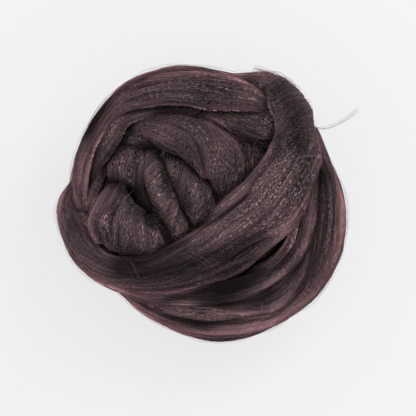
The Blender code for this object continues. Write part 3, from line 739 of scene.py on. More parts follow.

# Painted shade and painted light that run on over several bands: shadows, dark hollows and
# crevices, and crevices lightened where the real shade is deep. With how wide they are and how much
# darker the wool's painted colour is along them, or how much lighter, and then how much of the edge
# colour shows there as painted edge light.
PAINTED_SHADE_STRETCHES = [
    (9.0, [(36, 66), (44, 62), (50, 54), (53, 46), (53, 36), (51, 26)], 0.68),
    (4.5, [(57, 34), (57, 24), (56, 14), (54, 5), (50, -2)], 0.5),
    (4.5, [(40, 44), (41, 36), (42, 28), (36, 24)], 0.45),
    (6.5, [
        (-52, -34), (-38, -36), (-24, -37), (-10, -35), (2, -31), (12, -28), (22, -25), (31, -20),
    ], 0.6),
    (6.0, [(-30, -28), (-14, -26), (-2, -22)], 0.35),
    (2.8, [(-52, -29), (-40, -31.5), (-30, -31), (-20, -26.5), (-12, -22), (-4, -17)], 0.6),
    (3.5, [(2, -54), (14, -55.5), (24, -54), (34, -51)], 0.5),
    (2.6, [(34, -28), (20, -34), (8, -38), (-4, -42)], 0.55),
    (2.5, [(-26, -60), (-16, -64.5), (-6, -66.5), (6, -66)], 0.45),
    (3.6, [(-34, 0), (-30, -6), (-26, -12), (-22, -19)], 0.8),
    (3.5, [(-53, -14), (-50, -21), (-46, -26), (-38, -26), (-30, -27)], 0.4),
    (3.2, [(-54, 13), (-47, 9.5), (-41, 6), (-37, 1)], 0.75),
    (3.2, [(-36, 33), (-26, 31.5), (-18, 28.5), (-11, 24), (-5, 18.5), (0, 14.5)], 0.65),
    (7.0, [(-20, 38), (-12, 34), (-5, 28), (2, 20)], 0.35),
    (2.5, [(-42, 50.5), (-28, 53.3), (-15, 54.5), (0, 54.5), (12, 53)], 0.5),
    (7.0, [(-6, 62), (4, 60), (14, 60), (22, 57)], 0.35),
    (2.5, [(-56, 22), (-49, 28.5), (-45, 34), (-42, 40), (-37, 45.5)], 0.6),
    (2.5, [(-66, 31), (-61.5, 40), (-56, 48.5), (-50, 56), (-43, 62), (-35, 66.5), (-25, 70)], 0.65),
    (2.5, [(-22, 22), (-20.5, 14), (-18.5, 7), (-15.5, 0)], 0.6),
    (2.2, [(61.5, -12), (61, -24), (59.8, -33), (57.5, -41), (53.5, -48), (48, -54)], 0.7),
    (3.0, [(66, 24), (65.5, 14), (64, 4)], 0.4),
    (5.0, [(37, 68), (38, 61), (39, 54)], 0.5),
    (6.0, [(-54, -34), (-42, -38), (-28, -39), (-14, -37), (-4, -32), (-2, -24)], 0.35),
    (1.6, [(-35, 35), (-35.5, 27), (-36, 18), (-35.5, 9), (-33, 4)], 0.5),
    (5.0, [(15, 44), (24, 41), (33, 37)], 0.4),
    (1.5, [(20, 33), (24, 27), (25.5, 20)], 0.5),
    (2.0, [(14, 7), (22, 12), (28, 17), (34, 25)], 0.45),
    (2.0, [(-14, -20), (-6, -15.5), (1, -11), (8, -6), (13, -2)], 0.55),
    (2.5, [(25, -22), (31, -19), (37, -15)], 0.6),
    (2.2, [(44, -21), (39, -27), (33, -32)], 0.6),
    (2.2, [(57.5, -24), (54, -30), (49, -36), (43, -42)], 0.6),
    (3.0, [(24, -55), (32, -54), (39, -50), (43, -46)], 0.65),
    (1.5, [(0, -64.5), (12, -64.5), (24, -64)], 0.6),
    (1.5, [(62.5, 10), (62.5, -2), (61, -12)], 0.5),
    (3.0, [(52, 6), (49, -3), (43, -10)], 0.4),
    (3.5, [(4, -50), (14, -48.5), (24, -45.5), (33, -43)], 0.7),
    (2.4, [(4, -43.5), (12, -41.5), (20, -38.5), (28, -35)], 0.65),
    (3.5, [(8, -33), (16, -31), (22, -28.5)], 0.4),
    (2.0, [(-14, -45), (-6, -42.5), (2, -40.5)], 0.4),
    (3.0, [(-36, -53.5), (-28, -54.5), (-20, -54.5), (-12, -53.5)], 0.5),
    (2.6, [(-8, -55.5), (0, -56), (8, -56.5), (18, -55)], 0.7),
    (2.8, [(-22, -59.5), (-14, -62.5), (-4, -64), (6, -64.5), (16, -64)], 0.45),
    (4.0, [(-8, -67), (2, -67.5), (12, -67)], 0.25),
    (2.4, [(49.5, -22), (46, -28), (41, -32), (35, -35)], 0.6),
    (1.6, [(55, 2), (54, -8), (52, -14)], 0.45),
    (3.5, [(69, -34), (64, -44), (57, -51)], 0.35),
    (3.5, [(-34, 10), (-39, 3), (-36, -3), (-31, -9), (-26, -15)], 0.6),
    (2.0, [(-47, 3), (-48, -5), (-47, -13)], 0.35),
    (2.2, [(-56.5, -6), (-56, -14), (-53, -21)], 0.4),
    (3.0, [(-47, -21), (-42, -22), (-36, -22)], 0.35),
    (3.0, [(-50, 18), (-46, 13), (-42, 9)], 0.5),
    (2.2, [(-63.5, 33), (-60, 40), (-55.5, 47)], 0.6),
    (1.6, [(-47, 46), (-41, 50), (-34, 52)], 0.4),
    (2.0, [(-40, 45), (-34, 46)], 0.5),
    (2.2, [(-9, 7), (-8.5, 0), (-6, -8)], 0.5),
    (2.0, [(-14, 12), (-18.5, 9), (-18, 4)], 0.3),
    (2.2, [(-8, -16.5), (-1, -13.5), (6, -9)], 0.5),
    (4.0, [(54, 53), (50, 46), (44, 41)], 0.4),
    (4.5, [(58, 40), (54, 33), (49, 28), (45, 22)], 0.4),
    (3.0, [(64, 29), (62, 24), (60, 18)], 0.4),
    (3.0, [(65, 22), (63, 14), (62, 6)], 0.35),
    (1.8, [(22, 68), (28, 64.5), (34, 60.5)], 0.5),
    (2.5, [(-10, 66), (0, 64.5), (8, 62)], 0.3),
]
PAINTED_LIGHT_STRETCHES = [
    (3.5, [(-67, 8), (-67, 18), (-64, 29)], 0.4),
    (2.5, [(-62, -40), (-50, -45), (-40, -47)], 0.3, 0.3),
    (3.0, [(55, -2), (52, -8), (50, -15), (46, -22), (40, -29), (32, -34)], 0.6),
    (2.2, [(61, 8), (60.5, 2), (59.5, -5), (57.5, -12)], 0.8),
    (3.0, [(-20, -57), (-10, -56.5), (0, -57.5), (12, -59.5)], 1.8),
    (2.5, [(18, -50), (28, -48), (37, -44.5), (43, -41)], 0.9),
    (2.5, [(-38, 48), (-28, 49.5), (-18, 50.5), (-8, 50.5), (2, 49), (10, 46), (18, 43)], 1.7),
    (2.0, [(35, 54), (37.5, 48), (38.5, 42), (36, 35), (30, 33), (22, 36)], 0.7),
    (2.5, [(24, 16), (28, 24), (31, 31)], 0.8),
    (2.5, [(16, 9), (21, 14), (21.5, 20)], 0.6),
    (1.8, [(11, 9), (8.5, 2), (10, -4)], 0.7),
    (3.0, [(-21, -22), (-13, -17.5), (-8, -13), (-4, -7)], 0.9),
    (1.6, [(-18, 25), (-16.5, 16), (-15, 6), (-14.5, -2), (-12, -9)], 0.7),
    (1.5, [(-31, 31), (-32, 26), (-33, 18), (-32, 12)], 0.6),
    (2.5, [(-36, 5), (-32, 1), (-27, -4)], 0.8),
    (2.5, [(-55, 8), (-59, 2), (-62, -6)], 1.5, 0.3),
    (1.8, [(-58, -21), (-52, -26), (-45, -28), (-38, -28.5)], 0.9),
    (2.0, [(-48, 26), (-52, 21), (-53, 14)], 0.8),
    (2.0, [(-50, 42), (-55, 35), (-57.5, 28), (-60, 18)], 0.4),
    (2.5, [(-2, 49), (8, 44), (16, 38), (24, 33)], 0.7),
    (1.5, [(14, -3), (20, 2), (24, 6), (28, 11)], 0.5),
    (3.0, [(8, -28), (16, -25), (25, -20)], 0.35),
    (1.8, [(-6, -60.5), (10, -61.3), (24, -61), (36, -60), (45, -56)], 0.7),
    (2.5, [(4, -70), (18, -69.5), (30, -67), (42, -61)], 0.4, 0.5),
    (1.5, [(65.5, -14), (64.5, -24), (62.5, -34)], 0.5),
    (2.0, [(76, 8), (77, -6), (75, -20)], 0.3, 0.3),
    (2.0, [
        (-52, -45.5), (-43, -51), (-34, -58.5), (-26, -64), (-16, -69), (-4, -73.5), (8, -76),
    ], 0.6, 0.7),
    (1.8, [(-60, 47), (-52, 57), (-43, 64.5), (-33, 70), (-20, 74)], 0.4, 0.5),
    (2.0, [(-70, 14), (-75, 7), (-78, 0), (-79, -8), (-77, -17), (-73, -26)], 0.5, 0.3),
    (4.0, [(51, -11), (47, -16), (43, -20), (37, -21)], 1.0),
    (1.6, [(59, -4), (56.5, -13), (53.5, -21), (49, -28)], 0.5),
    (1.8, [(60, -28), (57.5, -33), (54.5, -36.5)], 0.5),
    (1.8, [(68, 12), (68, 2), (67.5, -8), (66, -18)], 0.45, 0.2),
    (4.0, [(52, -45), (46, -52), (38, -58)], 0.25),
    (1.6, [(-50, -8), (-51, -15), (-50, -20)], 0.5),
    (2.2, [(-33, 3), (-29, -1), (-27, -6)], 1.2),
    (1.8, [(-57, -22), (-51, -26.5), (-44, -28.5), (-37, -28.5)], 1.2),
    (2.0, [(-60, 2), (-62, -3), (-62.5, -7)], 0.9),
    (4.0, [(-56, 26), (-52, 33), (-47, 39), (-42, 44)], 0.3),
    (2.5, [(-41, 33), (-39, 40)], 0.5),
    (2.0, [(-28, 30.5), (-24, 28), (-21, 25)], 1.0),
    (2.0, [(-20, 27.5), (-15, 26), (-11, 24)], 0.7),
    (2.5, [(-32, 24), (-30, 18), (-29, 12)], 0.4),
    (2.5, [(-16, -20), (-9, -15.5), (0, -9), (6, -4), (10, 2)], 0.6),
    (2.0, [(2, 15), (5, 10.5), (9, 7)], 0.7),
    (3.0, [(12, 12), (17, 11), (23, 15)], 0.4),
    (2.2, [(36, 56), (35, 51), (38, 45), (38.5, 38), (34, 33)], 0.6),
    (1.8, [(10, 49), (20, 49.5), (32, 49.5)], 0.5),
    (2.0, [(0, 48), (8, 42), (14, 37), (20, 33)], 0.35),
    (2.0, [(19, 37), (24, 34), (26, 29)], 0.6),
    (1.6, [(26, 19), (30, 24), (33, 29)], 0.7),
    (2.0, [(-54, 53), (-46, 61), (-38, 67), (-28, 71.5)], 0.6, 0.5),
    (2.5, [(-62, -41), (-52, -44.5), (-42, -46), (-30, -46.5)], 0.4, 0.3),
    (2.0, [(10, 71), (20, 70.5), (30, 71.5), (37, 70.5)], 0.6, 0.4),
    (2.0, [(20, -70), (30, -68.5), (38, -65), (46, -61)], 0.6, 0.4),
]
PAINTED_SHADING_STRETCHES = [Line(0.0, 0.0, width, points, dark) for width, points, dark in PAINTED_SHADE_STRETCHES]
PAINTED_SHADING_STRETCHES += [
    Line(0.0, pink[0] if pink else 0.0, width, points, -light)
    for width, points, light, *pink in PAINTED_LIGHT_STRETCHES
]

# Hairs that stand out: how many, how far apart, how thick, how pale, and where they are seen.
STRAY_POINTS = 14
STRAY_STEP = 0.5
STRAY_LIFT = 0.7
STRAY_HEIGHT = 60.0
STRAY_WIDTHS = (0.7, 1.3)
# Stray hairs show the paler edge colour, painted light that passes thin fibres.
STRAY_PINK = 0.7
STRAY_SEED = 23
STRAY_HAIRS = [
    (4, 0.5, 0.9, 1.3, [(60, 43), (66, 41), (72, 42), (78, 45), (83, 48.5), (86.5, 51.5)]),
    (7, 0.9, 0.8, 0.9, [(42, 69.5), (38, 72), (34, 73.5), (30, 74)]),
    (3, 0.7, 0.8, 0.8, [(44, 66), (38, 70.5), (34, 72.5)]),
    (2, 0.6, 0.6, 1.5, [(-44, 40), (-36, 38.5), (-28, 40), (-20, 42.5), (-14, 46)]),
    (2, 0.8, 0.6, 1.3, [(-6, -28), (0, -31), (6, -36), (8, -39)]),
    (2, 0.5, 0.8, 1.5, [(48, 23), (56, 25.5), (64, 26), (72, 24.5)]),
    (2, 0.8, 0.8, 1.5, [(34, -54), (33.5, -60), (35, -66)]),
    (3, 0.9, 0.55, 1.3, [(-56, -20), (-48, -27), (-40, -33), (-36, -41)]),
    (2, 0.7, 0.8, 1.6, [(-64, -4), (-58, -9), (-53, -11)]),
    (2, 0.7, 0.8, 1.5, [(-38, 6), (-44, 0), (-46, -10)]),
    (2, 0.8, 0.7, 1.4, [(4, 62), (16, 58), (26, 52), (34, 47)]),
    (2, 0.8, 0.7, 1.5, [(20, 4), (30, 9), (42, 20), (48, 30)]),
]

BAND_GROUPS = {
    "rim_windings": RIM_BANDS,
    "nest_folds": NEST_FOLDS,
    "crossing_bands": CROSSING_BANDS,
    "outer_windings": OUTER_BANDS,
}

# What one band is drawn from. Points and normals are its crown's grid, rows by columns, along and
# across are each point's place on the combed strand, and root closes it below. Size is its length
# and its width round the crown, and slip is how many columns its fibres have moved over at each row.
# Pink is its painted edge light and sheen, dark the painted shade of its lines (painted light below 0),
# open the shade painted from its crevices times that, and tone its own dye.
Band = namedtuple("Band", "name points normals along across root size slip pink dark open tone")

# What whole_ball has laid, for every operator to find.
laid = {}


# Noise that runs along the fibres


def lattice(i, j, seed):
    """A number from -1 to 1 for each corner of a lattice, the same in every run."""
    mixed = (i * 374761393 + j * 668265263 + seed * 1442695041) & 0xFFFFFFFF
    mixed = ((mixed ^ (mixed >> 13)) * 1274126177) & 0xFFFFFFFF
    return ((mixed ^ (mixed >> 16)) & 0xFFFF) / 32767.5 - 1


def soft_noise(x, y, seed):
    """Smooth noise from -1 to 1 that changes over a distance of one."""
    i, j = np.floor(x).astype(np.int64), np.floor(y).astype(np.int64)
    u, v = x - i, y - j
    u, v = (w * w * w * (w * (w * 6 - 15) + 10) for w in (u, v))
    near = lattice(i, j, seed) * (1 - u) + lattice(i + 1, j, seed) * u
    far = lattice(i, j + 1, seed) * (1 - u) + lattice(i + 1, j + 1, seed) * u
    return near * (1 - v) + far * v


def locks(across, along, look, seed):
    """How far a band's locks and strands stand out of it. They meet in sharp little valleys."""
    across = across + WAVER_DEPTH * soft_noise(across / WAVER_WIDTH, along / WAVER_LENGTH, seed)
    lock = np.abs(soft_noise(across / look.lock_width, along / LOCK_LENGTH, seed + 1))
    strand = np.abs(soft_noise(across / look.strand_width, along / STRAND_LENGTH, seed + 2))
    ridge = soft_noise(across / RIDGE_WIDTH, along / RIDGE_LENGTH, seed + 3)
    stand = look.lock_depth * (lock**LOCK_SHARPNESS - LOCK_SINK)
    stand = stand + look.strand_depth * (strand**STRAND_SHARPNESS - STRAND_SINK)
    return stand + RIDGE_DEPTH * ridge


# Laying the bands


def smooth_rows(stations, step):
    """Rows along a smooth curve through the stations, about step apart."""
    table = np.array(stations, float)
    padded = np.vstack([table[:1], table, table[-1:]])
    rows = []
    for before, here, there, after in zip(padded, padded[1:], padded[2:], padded[3:]):
        pieces = max(1, round(float(np.linalg.norm((there - here)[:3])) / step))
        t = (np.arange(pieces) / pieces)[:, None]
        bend = 2 * before - 5 * here + 4 * there - after
        swing = 3 * here - before - 3 * there + after
        rows.append(0.5 * (2 * here + (there - before) * t + bend * t**2 + swing * t**3))
    return np.vstack(rows + [table[-1:]])


def unit(vectors):
    return vectors / np.maximum(np.linalg.norm(vectors, axis=-1, keepdims=True), 1e-9)


def facing(rows):
    """The way that a band's face looks: square to the ball's surface, and then tipped up."""
    level = rows[:, :2] / np.square(BALL_HALF[:2])
    height = (rows[:, 2] - MIDDLE_HEIGHT) / BALL_HALF[2] ** 2
    slope = np.arctan2(np.linalg.norm(level, axis=1), height) - np.radians(rows[:, TIP])
    level = unit(level) * np.sin(slope)[:, None]
    return np.column_stack([level, np.cos(slope)])


def grid_normals(points, out):
    """Unit normals of a grid of points, on the side that out points to."""
    down = np.gradient(points, axis=0)
    over = np.gradient(points, axis=1)
    normals = unit(np.cross(down, over))
    middle = points.shape[1] // 2
    flip = np.sign(np.sum(normals[:, middle] * out, axis=1))
    return normals * flip[:, None, None]


def as_seen(points):
    """Where points show in the picture, in millimetres at the height that the lines are given at."""
    middle = np.array(CAMERA_PLACE[:2])
    spread = (CAMERA_PLACE[2] - SEEN_HEIGHT) / (CAMERA_PLACE[2] - points[..., 2:3])
    return middle + (points[..., :2] - middle) * spread


def along_line(seen, line):
    """How strongly a line works at each seen point: 1 on it, and fading beside it and at its ends."""
    path = smooth_rows([point + (0,) for point in line.points], LINE_STEP)[:, :2]
    lengths = np.concatenate([[0], np.cumsum(np.linalg.norm(np.diff(path, axis=0), axis=1))])
    flat = seen.reshape(-1, 2)
    nearest = np.full(len(flat), np.inf)
    place = np.zeros(len(flat))
    for start, end, at, reach in zip(path, path[1:], lengths, np.diff(lengths)):
        way = (end - start) / max(reach, 1e-9)
        t = np.clip((flat - start) @ way, 0, reach)
        gap = np.linalg.norm(flat - start - t[:, None] * way, axis=1)
        closer = gap < nearest
        nearest[closer] = gap[closer]
        place[closer] = (at + t)[closer]
    fade = np.clip(np.minimum(place, lengths[-1] - place) / LINE_FADE, 0, 1)
    return (np.exp(-np.square(nearest / line.width)) * fade).reshape(seen.shape[:2])


def axes_of(rows):
    """The way each row's section reaches sideways, and the way that its crown faces."""
    ahead, behind = np.roll(rows, -1, axis=0), np.roll(rows, 1, axis=0)
    ahead[-1], behind[0] = rows[-1], rows[0]
    way = unit((ahead - behind)[:, :3])
    side = unit(np.cross(way, facing(rows)))
    return side, unit(np.cross(side, way))


def under_eye(point, height):
    """The place at a height that shows at a seen point."""
    middle, eye = np.array(CAMERA_PLACE[:2]), CAMERA_PLACE[2]
    return middle + (np.array(point) - middle) * (eye - height) / (eye - SEEN_HEIGHT)


def crown_of(rows, side, out, half, thick, turn):
    """The points of a band's crown, rows by columns: half an oval, from edge to edge."""
    return (
        rows[:, None, :3]
        + side[:, None] * (half[:, None] * np.cos(turn))[..., None]
        + out[:, None] * (thick[:, None] * (np.sin(turn) - 1) / 2)[..., None]
    )


def stations_of(marks):
    """Stations for marks that are Edges or Stations: each is moved and widened until its edges fit.

    Places come out to a tenth of a millimetre, and the other sizes to half a millimetre.
    """
    rows = np.zeros((len(marks), len(Station._fields)))
    ends = np.zeros((len(marks), 2, 2))
    for k, mark in enumerate(marks):
        if isinstance(mark, Station):
            rows[k] = mark
            continue
        height = mark.z - mark.thick / 3
        ends[k] = under_eye((mark.ax, mark.ay), height), under_eye((mark.bx, mark.by), height)
        wide = np.linalg.norm(ends[k, 1] - ends[k, 0])
        rows[k] = (*ends[k].mean(axis=0), mark.z, wide, mark.thick, mark.tip, mark.lean)
    fits = np.array([isinstance(mark, Edges) for mark in marks])
    turn = np.linspace(0, math.pi, FIT_POINTS)
    for _ in range(FIT_ROUNDS):
        side, out = axes_of(rows)
        over = unit(side[:, :2])
        over = over * np.where(np.sum(over * (ends[:, 1] - ends[:, 0]), axis=1) > 0, 1, -1)[:, None]
        crown = crown_of(rows, side, out, rows[:, WIDTH] / 2, rows[:, THICK] * CROWN_RISE, turn)
        reach = np.sum(crown[..., :2] * over[:, None], axis=-1)
        low, high = reach.min(axis=1), reach.max(axis=1)
        wanted = np.sort(np.sum(ends * over[:, None], axis=-1), axis=1)
        grow = (wanted[:, 1] - wanted[:, 0]) / np.maximum(high - low, FIT_LEAST) - 1
        wider = np.clip(rows[:, WIDTH] * (1 + FIT_SPEED * grow), *FIT_WIDTHS)
        moved = rows[:, :2] + over * (FIT_SPEED * (wanted.mean(axis=1) - (low + high) / 2))[:, None]
        along = np.column_stack([-over[:, 1], over[:, 0]])
        back = np.sum((ends.mean(axis=1) - moved) * along, axis=1)
        moved = moved + along * (FIT_SPEED * back)[:, None]
        rows[fits, :2], rows[fits, WIDTH] = moved[fits], wider[fits]
    rows[:, :2] = np.round(rows[:, :2], 1)
    rows[:, 2:] = np.round(rows[:, 2:] * 2) / 2
    return rows


def combing(rows, along, steps):
    """Each point's place along and across the fibres, which lean, and how far they slip sideways.

    Along is how far each row is from the band's start, and steps are the gaps between the columns.
    """
    across = np.concatenate([[0], np.cumsum(steps)]) - steps.sum() / 2
    lean = np.radians(rows[:, LEAN])
    gaps = np.diff(along, prepend=0)
    slip = np.cumsum(np.tan(lean) * gaps)
    across = (across[None] - slip[:, None]) * np.cos(lean)[:, None]
    along = np.broadcast_to(np.cumsum(gaps / np.cos(lean))[:, None], across.shape)
    return along, across, slip * len(steps) / steps.sum()


def root_of(rows, side, out, half, thick):
    """The points that close a band below, getting narrower towards a ring inside the ball."""
    centre = rows[:, :3]
    ring = np.column_stack([rows[:, :2] * ROOT_RING, np.full(len(rows), ROOT_RING_HEIGHT)])
    towards = unit(ring - centre)
    low, high = [], []
    for step in ROOT_STEPS:
        narrow = (half * (1 - (1 - ROOT_SHARE) * step**ROOT_EASE))[:, None]
        foot = centre - out * (thick / 2)[:, None] * (1 - step) + towards * ROOT_DEPTH * step
        low.append(foot - side * narrow)
        high.append(foot + side * narrow)
    return np.stack(low + high[::-1], axis=1)


def lay_band(name, stations, look, seed, lines=(), level=None):
    """A Band along the stations. One that passes under the ball is pressed flat at level."""
    under = level is not None
    coarse = UNDER_COARSENESS if under else 1.0
    rows = smooth_rows(stations, ROW_STEP * coarse)
    side, out = axes_of(rows)
    along = np.concatenate([[0], np.cumsum(np.linalg.norm(np.diff(rows[:, :3], axis=0), axis=1))])
    share = np.ones(len(rows))
    if not under:
        from_end = np.clip(np.minimum(along, along[-1] - along) / END_TAPER, 0, 1)
        share = np.sqrt(np.clip(1 - np.square(1 - from_end), END_LEAST, 1))
    half, thick = rows[:, WIDTH] / 2 * share, rows[:, THICK] * share * CROWN_RISE
    columns = int(np.clip(rows[:, WIDTH].max() / COLUMN_STEP / coarse, *COLUMNS)) | 1
    turn = np.linspace(0, math.pi, columns)
    points = crown_of(rows, side, out, half, thick, turn)
    steps = np.linalg.norm(np.diff(points[len(rows) // 2], axis=0), axis=1)
    size = (along[-1], steps.sum())
    along, across, slip = combing(rows, along, steps)

    stand = locks(across, along, look, seed) * share[:, None]
    # Painted light that passes the thin band edges: the paler edge colour towards both edges of the
    # crown.
    rim = np.clip((np.abs(np.cos(turn)) - EDGE_START) / (1 - EDGE_START), 0, 1) ** 2
    pink = look.edge_pink * rim * np.ones_like(stand)
    dark = np.zeros_like(stand)
    seen = as_seen(points)
    # The lines sink creases, paint edge light as pink, and paint shade into the colour, or light where
    # dark is below 0.
    for line in lines:
        strength = along_line(seen, line)
        stand = stand - line.sink * strength
        pink = np.maximum(pink, line.pink * strength)
        dark = 1 - (1 - dark) * (1 - line.dark * strength)
    points = points + grid_normals(points, out) * stand[..., None]
    root = root_of(rows, side, out, half, thick)
    if under:
        points[..., 2] = np.maximum(points[..., 2], level)
        root[..., 2] = np.maximum(root[..., 2], level + 1)
    normals = grid_normals(points, out)
    # Painted sheen: the paler edge colour where the wool faces sideways.
    pink = np.maximum(pink, PAINTED_EDGE_SHEEN * np.clip(1 - normals[..., 2], 0, 1) ** 3)
    tone = 0.5 + 0.5 * lattice(np.array(seed), np.array(7), 3)  # one shade for the whole band
    light = np.ones_like(pink)
    return Band(name, points, normals, along, across, root, size, slip, pink, dark, light, float(tone))


def search_tree(bands):
    """A search tree of the bands' faces, in millimetres."""
    places, faces, base = [], [], 0
    for band in bands:
        points = ring_of(band)[0]
        rows, around = points.shape[:2]
        ids = base + np.arange(rows * around).reshape(rows, around)
        turned = np.roll(ids, -1, axis=1)
        quad = np.stack([ids[:-1], ids[1:], turned[1:], turned[:-1]], axis=-1)
        faces += quad.reshape(-1, 4).tolist()
        places += points.reshape(-1, 3).tolist()
        base += rows * around
    return BVHTree.FromPolygons(places, faces)


def hemisphere(count):
    """Directions spread over the half sphere round +Z, closer together near its pole."""
    i = np.arange(count)
    up = np.sqrt(1 - (i + 0.5) / count)
    turn = i * math.pi * (3 - math.sqrt(5))
    out = np.sqrt(1 - up**2)
    return np.column_stack([out * np.cos(turn), out * np.sin(turn), up])


def openness(tree, band):
    """How freely light reaches a band: 1 in the open, less in the crevices between bands."""
    rows, columns = band.pink.shape
    r = np.unique(np.linspace(0, rows - 1, max(2, rows // 2)).round().astype(int))
    c = np.unique(np.linspace(0, columns - 1, max(2, columns // 2)).round().astype(int))
    places = band.points[np.ix_(r, c)].reshape(-1, 3)
    normals = band.normals[np.ix_(r, c)].reshape(-1, 3)
    first = unit(np.cross(normals, OPEN_ASKEW))
    second = np.cross(normals, first)
    ways = hemisphere(OPEN_RAYS)
    shut = np.zeros(len(places))
    for x, y, z in ways:
        heading = first * x + second * y + normals * z
        for k, (place, way) in enumerate(zip(places + normals * OPEN_START, heading)):
            gap = tree.ray_cast(Vector(place), Vector(way), OPEN_REACH)[3]
            if gap is not None:
                shut[k] += 1 - gap / OPEN_REACH
    coarse = (1 - shut / len(ways)).reshape(len(r), len(c))
    grid_r, grid_c = np.meshgrid(
        np.interp(np.arange(rows), r, np.arange(len(r))),
        np.interp(np.arange(columns), c, np.arange(len(c))),
        indexing="ij",
    )
    return picked(coarse, grid_r, grid_c)


def shade_of(light):
    """How bright the wool is where a share of the light reaches it."""
    return np.interp(light, SHADE_FROM, SHADE_TO)


def ring_of(band):
    """All the points round each section of a band, with their places along and across it."""
    points = np.concatenate([band.points, band.root], axis=1)
    rows, extra = band.root.shape[:2]
    reach = np.linspace(ROOT_START, ROOT_DEPTH, extra // 2)
    last = band.across[:, -1:] + reach
    first = band.across[:, :1] - reach[::-1]
    across = np.concatenate([band.across, last, first], axis=1)
    along = np.broadcast_to(band.along[:, :1], across.shape)
    pink = np.concatenate([band.pink, np.zeros((rows, extra))], axis=1)
    light = np.concatenate([band.open, np.zeros((rows, extra))], axis=1)
    return points, along, across, pink, light


def set_values(mesh, label, values):
    """Gives every point of a mesh its own value."""
    kept = mesh.attributes.new(label, "FLOAT", "POINT")
    kept.data.foreach_set("value", np.asarray(values, np.float32).ravel())


def piece_mesh(name, bands):
    """One mesh of closed strips, with a UV map in metres along and across the strand."""
    places, quads, caps, uvs, pinks, lights, tones = [], [], [], [], [], [], []
    base = 0
    for band in bands:
        points, along, across, pink, light = ring_of(band)
        rows, around = points.shape[:2]
        ids = base + np.arange(rows * around).reshape(rows, around)
        turned = np.roll(ids, -1, axis=1)
        quad = np.stack([ids[:-1], ids[1:], turned[1:], turned[:-1]], axis=-1)
        quads.append(quad.reshape(-1, 4))
        caps.append(ids[0].tolist())
        caps.append(ids[-1][::-1].tolist())
        places.append(points.reshape(-1, 3))
        uvs.append(np.stack([along, across], axis=-1).reshape(-1, 2))
        pinks.append(pink.reshape(-1))
        lights.append(light.reshape(-1))
        tones.append(np.full(rows * around, band.tone))
        base += rows * around
    mesh = bpy.data.meshes.new(name)
    mesh.from_pydata(
        (np.concatenate(places) * MM).tolist(), [], np.concatenate(quads).tolist() + caps
    )
    corners = np.empty(len(mesh.loops), np.int32)
    mesh.loops.foreach_get("vertex_index", corners)
    uv_map = mesh.uv_layers.new(name="strand")
    uv_map.data.foreach_set("uv", (np.concatenate(uvs)[corners] * MM).astype(np.float32).ravel())
    for label, values in (("pink", pinks), ("open", lights), ("tone", tones)):
        set_values(mesh, label, np.concatenate(values))
    mesh.polygons.foreach_set("use_smooth", [True] * len(mesh.polygons))
    mesh.update()
    return mesh


def show_piece(name, mesh, material):
    """Adds a finished piece of the ball, which stands for the CAD solid."""
    piece = bpy.data.objects.new(name, mesh)
    bpy.context.scene.collection.objects.link(piece)
    mesh.materials.clear()
    mesh.materials.append(material)
    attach(piece, "root")
    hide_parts(BALL_NODE)
    return piece


# The whole ball


def seed_of(name):
    """A seed that depends on a band's name alone."""
    return sum((i + 3) * ord(letter) for i, letter in enumerate(name)) % 9973


def under_turn_stations(turn):
    """A slanting turn round the ball. Its upper half runs under the top bands."""
    towards, slope = math.radians(turn.towards), math.radians(turn.slope)
    level = np.array((-math.sin(towards), math.cos(towards), 0))
    ahead = math.cos(slope)
    downhill = np.array((math.cos(towards) * ahead, math.sin(towards) * ahead, -math.sin(slope)))
    pole = np.cross(level, downhill)
    stations = []
    for k in range(UNDER_POINTS + 1):
        angle = 2 * math.pi * k / UNDER_POINTS
        way = unit(
            level * math.sin(angle) - downhill * math.cos(angle) + pole * turn.shift / UNDER_HALF[0]
        )
        fall = UNDER_RISE if way[2] > 0 else UNDER_FALL + turn.lift
        stations.append(
            Station(
                CORE_MIDDLE[0] + way[0] * (UNDER_HALF[0] + turn.lift),
                CORE_MIDDLE[1] + way[1] * (UNDER_HALF[1] + turn.lift),
                MIDDLE_HEIGHT + way[2] * fall,
                UNDER_WIDTH,
                UNDER_THICK,
            )
        )
    return stations


def whole_ball(look):
    """All the bands of the ball in their groups, and their search tree, made once and kept."""
    if "tree" not in laid:
        groups = {
            group: [
                lay_band(
                    name, stations_of(marks), look, seed_of(name), BAND_LINES.get(name, []) + PAINTED_SHADING_STRETCHES
                )
                for name, marks in bands.items()
            ]
            for group, bands in BAND_GROUPS.items()
        }
        groups["under_windings"] = [
            lay_band(
                f"under_turn_{k}", under_turn_stations(turn), look, UNDER_SEED + k,
                level=UNDER_LEVEL + UNDER_STEP * k,
            )
            for k, turn in enumerate(UNDER_TURNS)
        ]
        tree = search_tree([band for bands in groups.values() for band in bands])
        # Each band's open value is painted shade: darker in crevices and along its dark lines, lighter in
        # the deepest crevices and where its lines are below 0.
        laid["groups"] = {
            group: [
                band._replace(open=shade_of(openness(tree, band)) * (1 - band.dark)) for band in bands
            ]
            for group, bands in groups.items()
        }
        laid["tree"] = tree
    return laid["groups"], laid["tree"]


# Materials

# Spots of noise are given by how wide they are across the fibres and how long along them, in
# millimetres. Strengths are in doublings of the light that the wool throws back.
NOISE_MIDDLE = 0.5
CRIMP_SPOT = (3.0, 4.5)
CRIMP_SWAY = 0.0011
LOCK_SPOT, LOCK_STRENGTH = (4.0, 60.0), 1.4
STRAND_SPOT, STRAND_STRENGTH = (1.2, 16.0), 2.5
FIBRE_SPOT, FIBRE_BREAKUP = (0.55, 1.9), 0.6
GRAIN_FROM, GRAIN_TO = (0.32, 0.62), (-4.2, 1.7)
TONE_STRENGTH = 0.25
CRISP_HEIGHTS, CRISPNESS = (0.055, 0.095), (0.3, 1.0)
DULL_LIGHT = (0.1, 0.8)
STRAND_RELIEF, FIBRE_RELIEF, RELIEF_DEPTH = 0.7, 0.6, 0.0006
BAND_ROUGHNESS = 0.62
FIBRE_ROUGHNESS = 0.5
SHEEN_ROUGHNESS = 0.45
